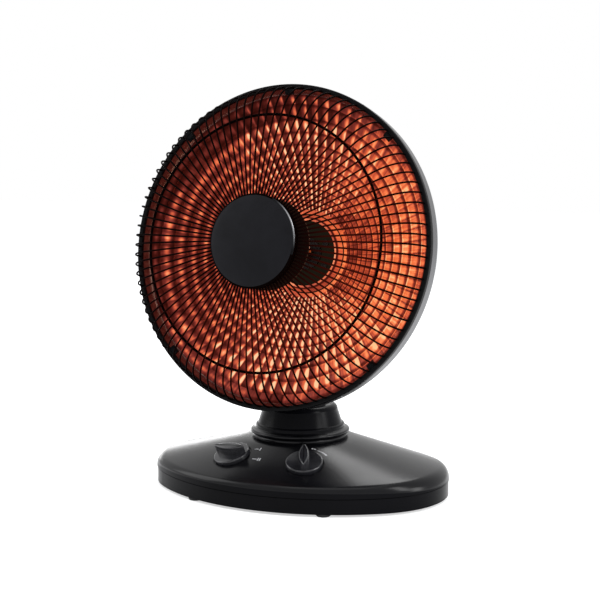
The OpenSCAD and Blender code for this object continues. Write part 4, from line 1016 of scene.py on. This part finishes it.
# %% Finishes of the cover
mark_white = finish("mark_white", (0.62, 0.62, 0.64), 0.5, spec=0.2, mottle=0.2, cloud=300, grain=1200)
cover.data.materials.append(mark_white)
cover.data.materials.append(base_satin)
for face in cover.data.polygons:
    if face.material_index == 0 and face.normal.z < 0.12:
        face.material_index = 2
cover.data.shade_smooth()
cover.data.set_sharp_from_angle(angle=math.radians(38))
print("cover with seats and marks:", len(cover.data.polygons), "faces")

# %% [markdown]
# ## Knobs
# Each knob is a low disc with a lens-shaped grip across it. A cube joined to a cylinder would have
# hard edges that no moulded knob has, so the disc is turned and the grip is stacked from outlines
# that draw in toward the top. As in the photograph, the left grip points sideways, the right one up.

# %% A knob
def lens_outline(inset, steps=18):
    """The grip's outline: two arcs that meet in points, blunted by the disc's edge."""
    reach, half = 20.5, 5.5
    lens_r = (reach ** 2 + half ** 2) / (2 * half)
    limit = 19.9 - inset
    out = []
    for side in (1, -1):
        r = lens_r - inset
        most = math.asin(min(1, limit / r))
        for i in range(steps + 1):
            a = most * (1 - 2 * i / steps)
            out.append((side * r * math.sin(a), side * (r * math.cos(a) - lens_r + half)))
    return out


def knob_shape():
    """A turned disc with a grip on it: rings of the outline that draw in over the last 1.6 mm."""
    disc = [(0.0, -1.3), (20.2, -1.3), (20.5, -1.0)] + arc(18.9, 2.8, 1.6, 0, 90, 8) + [(0.0, 4.4)]
    stack = [(0.0, 3.9), (0.0, 12.4)]
    stack += [(1.6 * (1 - math.cos(t)), 12.4 + 1.6 * math.sin(t)) for t in np.linspace(0.2, math.pi / 2, 7)]
    rings = [[(x, y, z) for x, y in lens_outline(inset)] for inset, z in stack]
    n = len(rings[0])
    grip_verts = [p for ring in rings for p in ring]
    grip_faces = ring_faces(len(rings), n)
    grip_faces += [tuple(range(n))[::-1], tuple((len(rings) - 1) * n + k for k in range(n))]
    return joined([turned(disc, 96), (grip_verts, grip_faces)])


knob_parts = (("selector_dial", -1, 103.0, "selector", "selector_knob"),
              ("thermostat_turner", 1, 185.0, "thermostat_dial", "thermostat_knob"))
for name, side, turn, body, node_name in knob_parts:
    place = knob_frame(side) @ Matrix.Rotation(math.radians(turn), 4, "Z")
    add_piece(name, knob_shape(), place, body, "knob_black", [node_name])

# %% [markdown]
# ## Floor and background
# The heater stands on a plain pale floor before a white background. More light could make them white,
# but it would also make the blacks grey. Instead the background is white only to the camera and to
# anything that mirrors it, and gives a modest fill to the rest. So does the floor, which keeps the
# heater's shadow.

# %% World
def seen_directly(tree):
    """1 for a ray from the camera, a mirror or glass, and 0 for any other."""
    ray = add_node(tree, "LightPath")
    seen = ray.outputs["Is Camera Ray"]
    for kind in ("Is Glossy Ray", "Is Transmission Ray"):
        seen = add_math(tree, "MAXIMUM", seen, ray.outputs[kind])
    return seen


scene = bpy.context.scene
scene.view_settings.view_transform = "Standard"
world = bpy.data.worlds.new("white_room")
scene.world = world
world.use_nodes = True
sky = world.node_tree
sky.nodes.clear()
white = add_node(sky, "Background", Color=(1, 1, 1, 1), Strength=1.0)
fill = add_node(sky, "Background", Color=(0.95, 0.97, 1, 1), Strength=0.55)
choice = add_node(sky, "MixShader")
out = add_node(sky, "OutputWorld")
link(sky, seen_directly(sky), choice.inputs[0])
link(sky, fill.outputs[0], choice.inputs[1])
link(sky, white.outputs[0], choice.inputs[2])
link(sky, choice.outputs[0], out.inputs["Surface"])
print("fill of the room:", fill.inputs["Strength"].default_value)

# %% Floor
floor_reach, floor_lift = 6, 0.55
floor_mesh = bpy.data.meshes.new("floor")
corners = [(x * floor_reach, y * floor_reach, 0) for x, y in ((-1, -1), (1, -1), (1, 1), (-1, 1))]
floor_mesh.from_pydata(corners, [], [(0, 1, 2, 3)])
floor = bpy.data.objects.new("floor", floor_mesh)
scene.collection.objects.link(floor)
paper, sheet, matt = new_material("pale_floor")
set_inputs(matt, Roughness=0.9, Specular_IOR_Level=0, Base_Color=(0.9, 0.9, 0.9, 1))
set_inputs(matt, Emission_Color=(1, 1, 1, 1))
lift = add_math(sheet, "MULTIPLY", seen_directly(sheet), floor_lift)
link(sheet, lift, matt.inputs["Emission Strength"])
floor_mesh.materials.append(paper)
print("floor, m across:", 2 * floor_reach)

# %% [markdown]
# ## Lamps
# A studio lights black plastic by what it mirrors: large soft panels, each of which draws one
# highlight. A single strong lamp would leave small hard glints. Here a panel on the left and a narrow
# one on the right shape the cup and the slopes, the top one lights the cover, the ones behind draw
# the base's far edges, and a low one on the right shows the shell.

# %% Lamps
def soft_lamp(name, place, aim, width, height, power):
    """A soft panel of so many metres and watts, turned toward its aim."""
    lamp = bpy.data.lights.new(name, "AREA")
    lamp.shape, lamp.size, lamp.size_y, lamp.energy = "RECTANGLE", width, height, power
    holder = bpy.data.objects.new(name, lamp)
    scene.collection.objects.link(holder)
    holder.location = place
    holder.rotation_euler = (Vector(aim) - Vector(place)).to_track_quat("-Z", "Y").to_euler()
    print(f"{name}: {power} W")
    return holder


soft_lamp("lamp_left", (-1.5, -0.5, 1.0), (0, 0, 0.2), 1.0, 1.4, 11)
soft_lamp("lamp_right", (1.7, -0.2, 1.1), (0, 0, 0.25), 0.4, 1.4, 15)
soft_lamp("lamp_top", (0.1, -0.3, 1.9), (0, 0, 0.2), 1.4, 1.4, 8)
soft_lamp("lamp_back", (-0.22, 1.2, 1.55), (0.08, -0.06, 0.04), 0.8, 0.6, 8)
soft_lamp("lamp_back_left", (-1.65, 1.97, 0.16), (-0.12, -0.03, 0.04), 1.6, 0.3, 5).visible_camera = False
soft_lamp("lamp_right_low", (2.0, 0.35, 0.4), (0, 0, 0.1), 0.5, 0.7, 9)
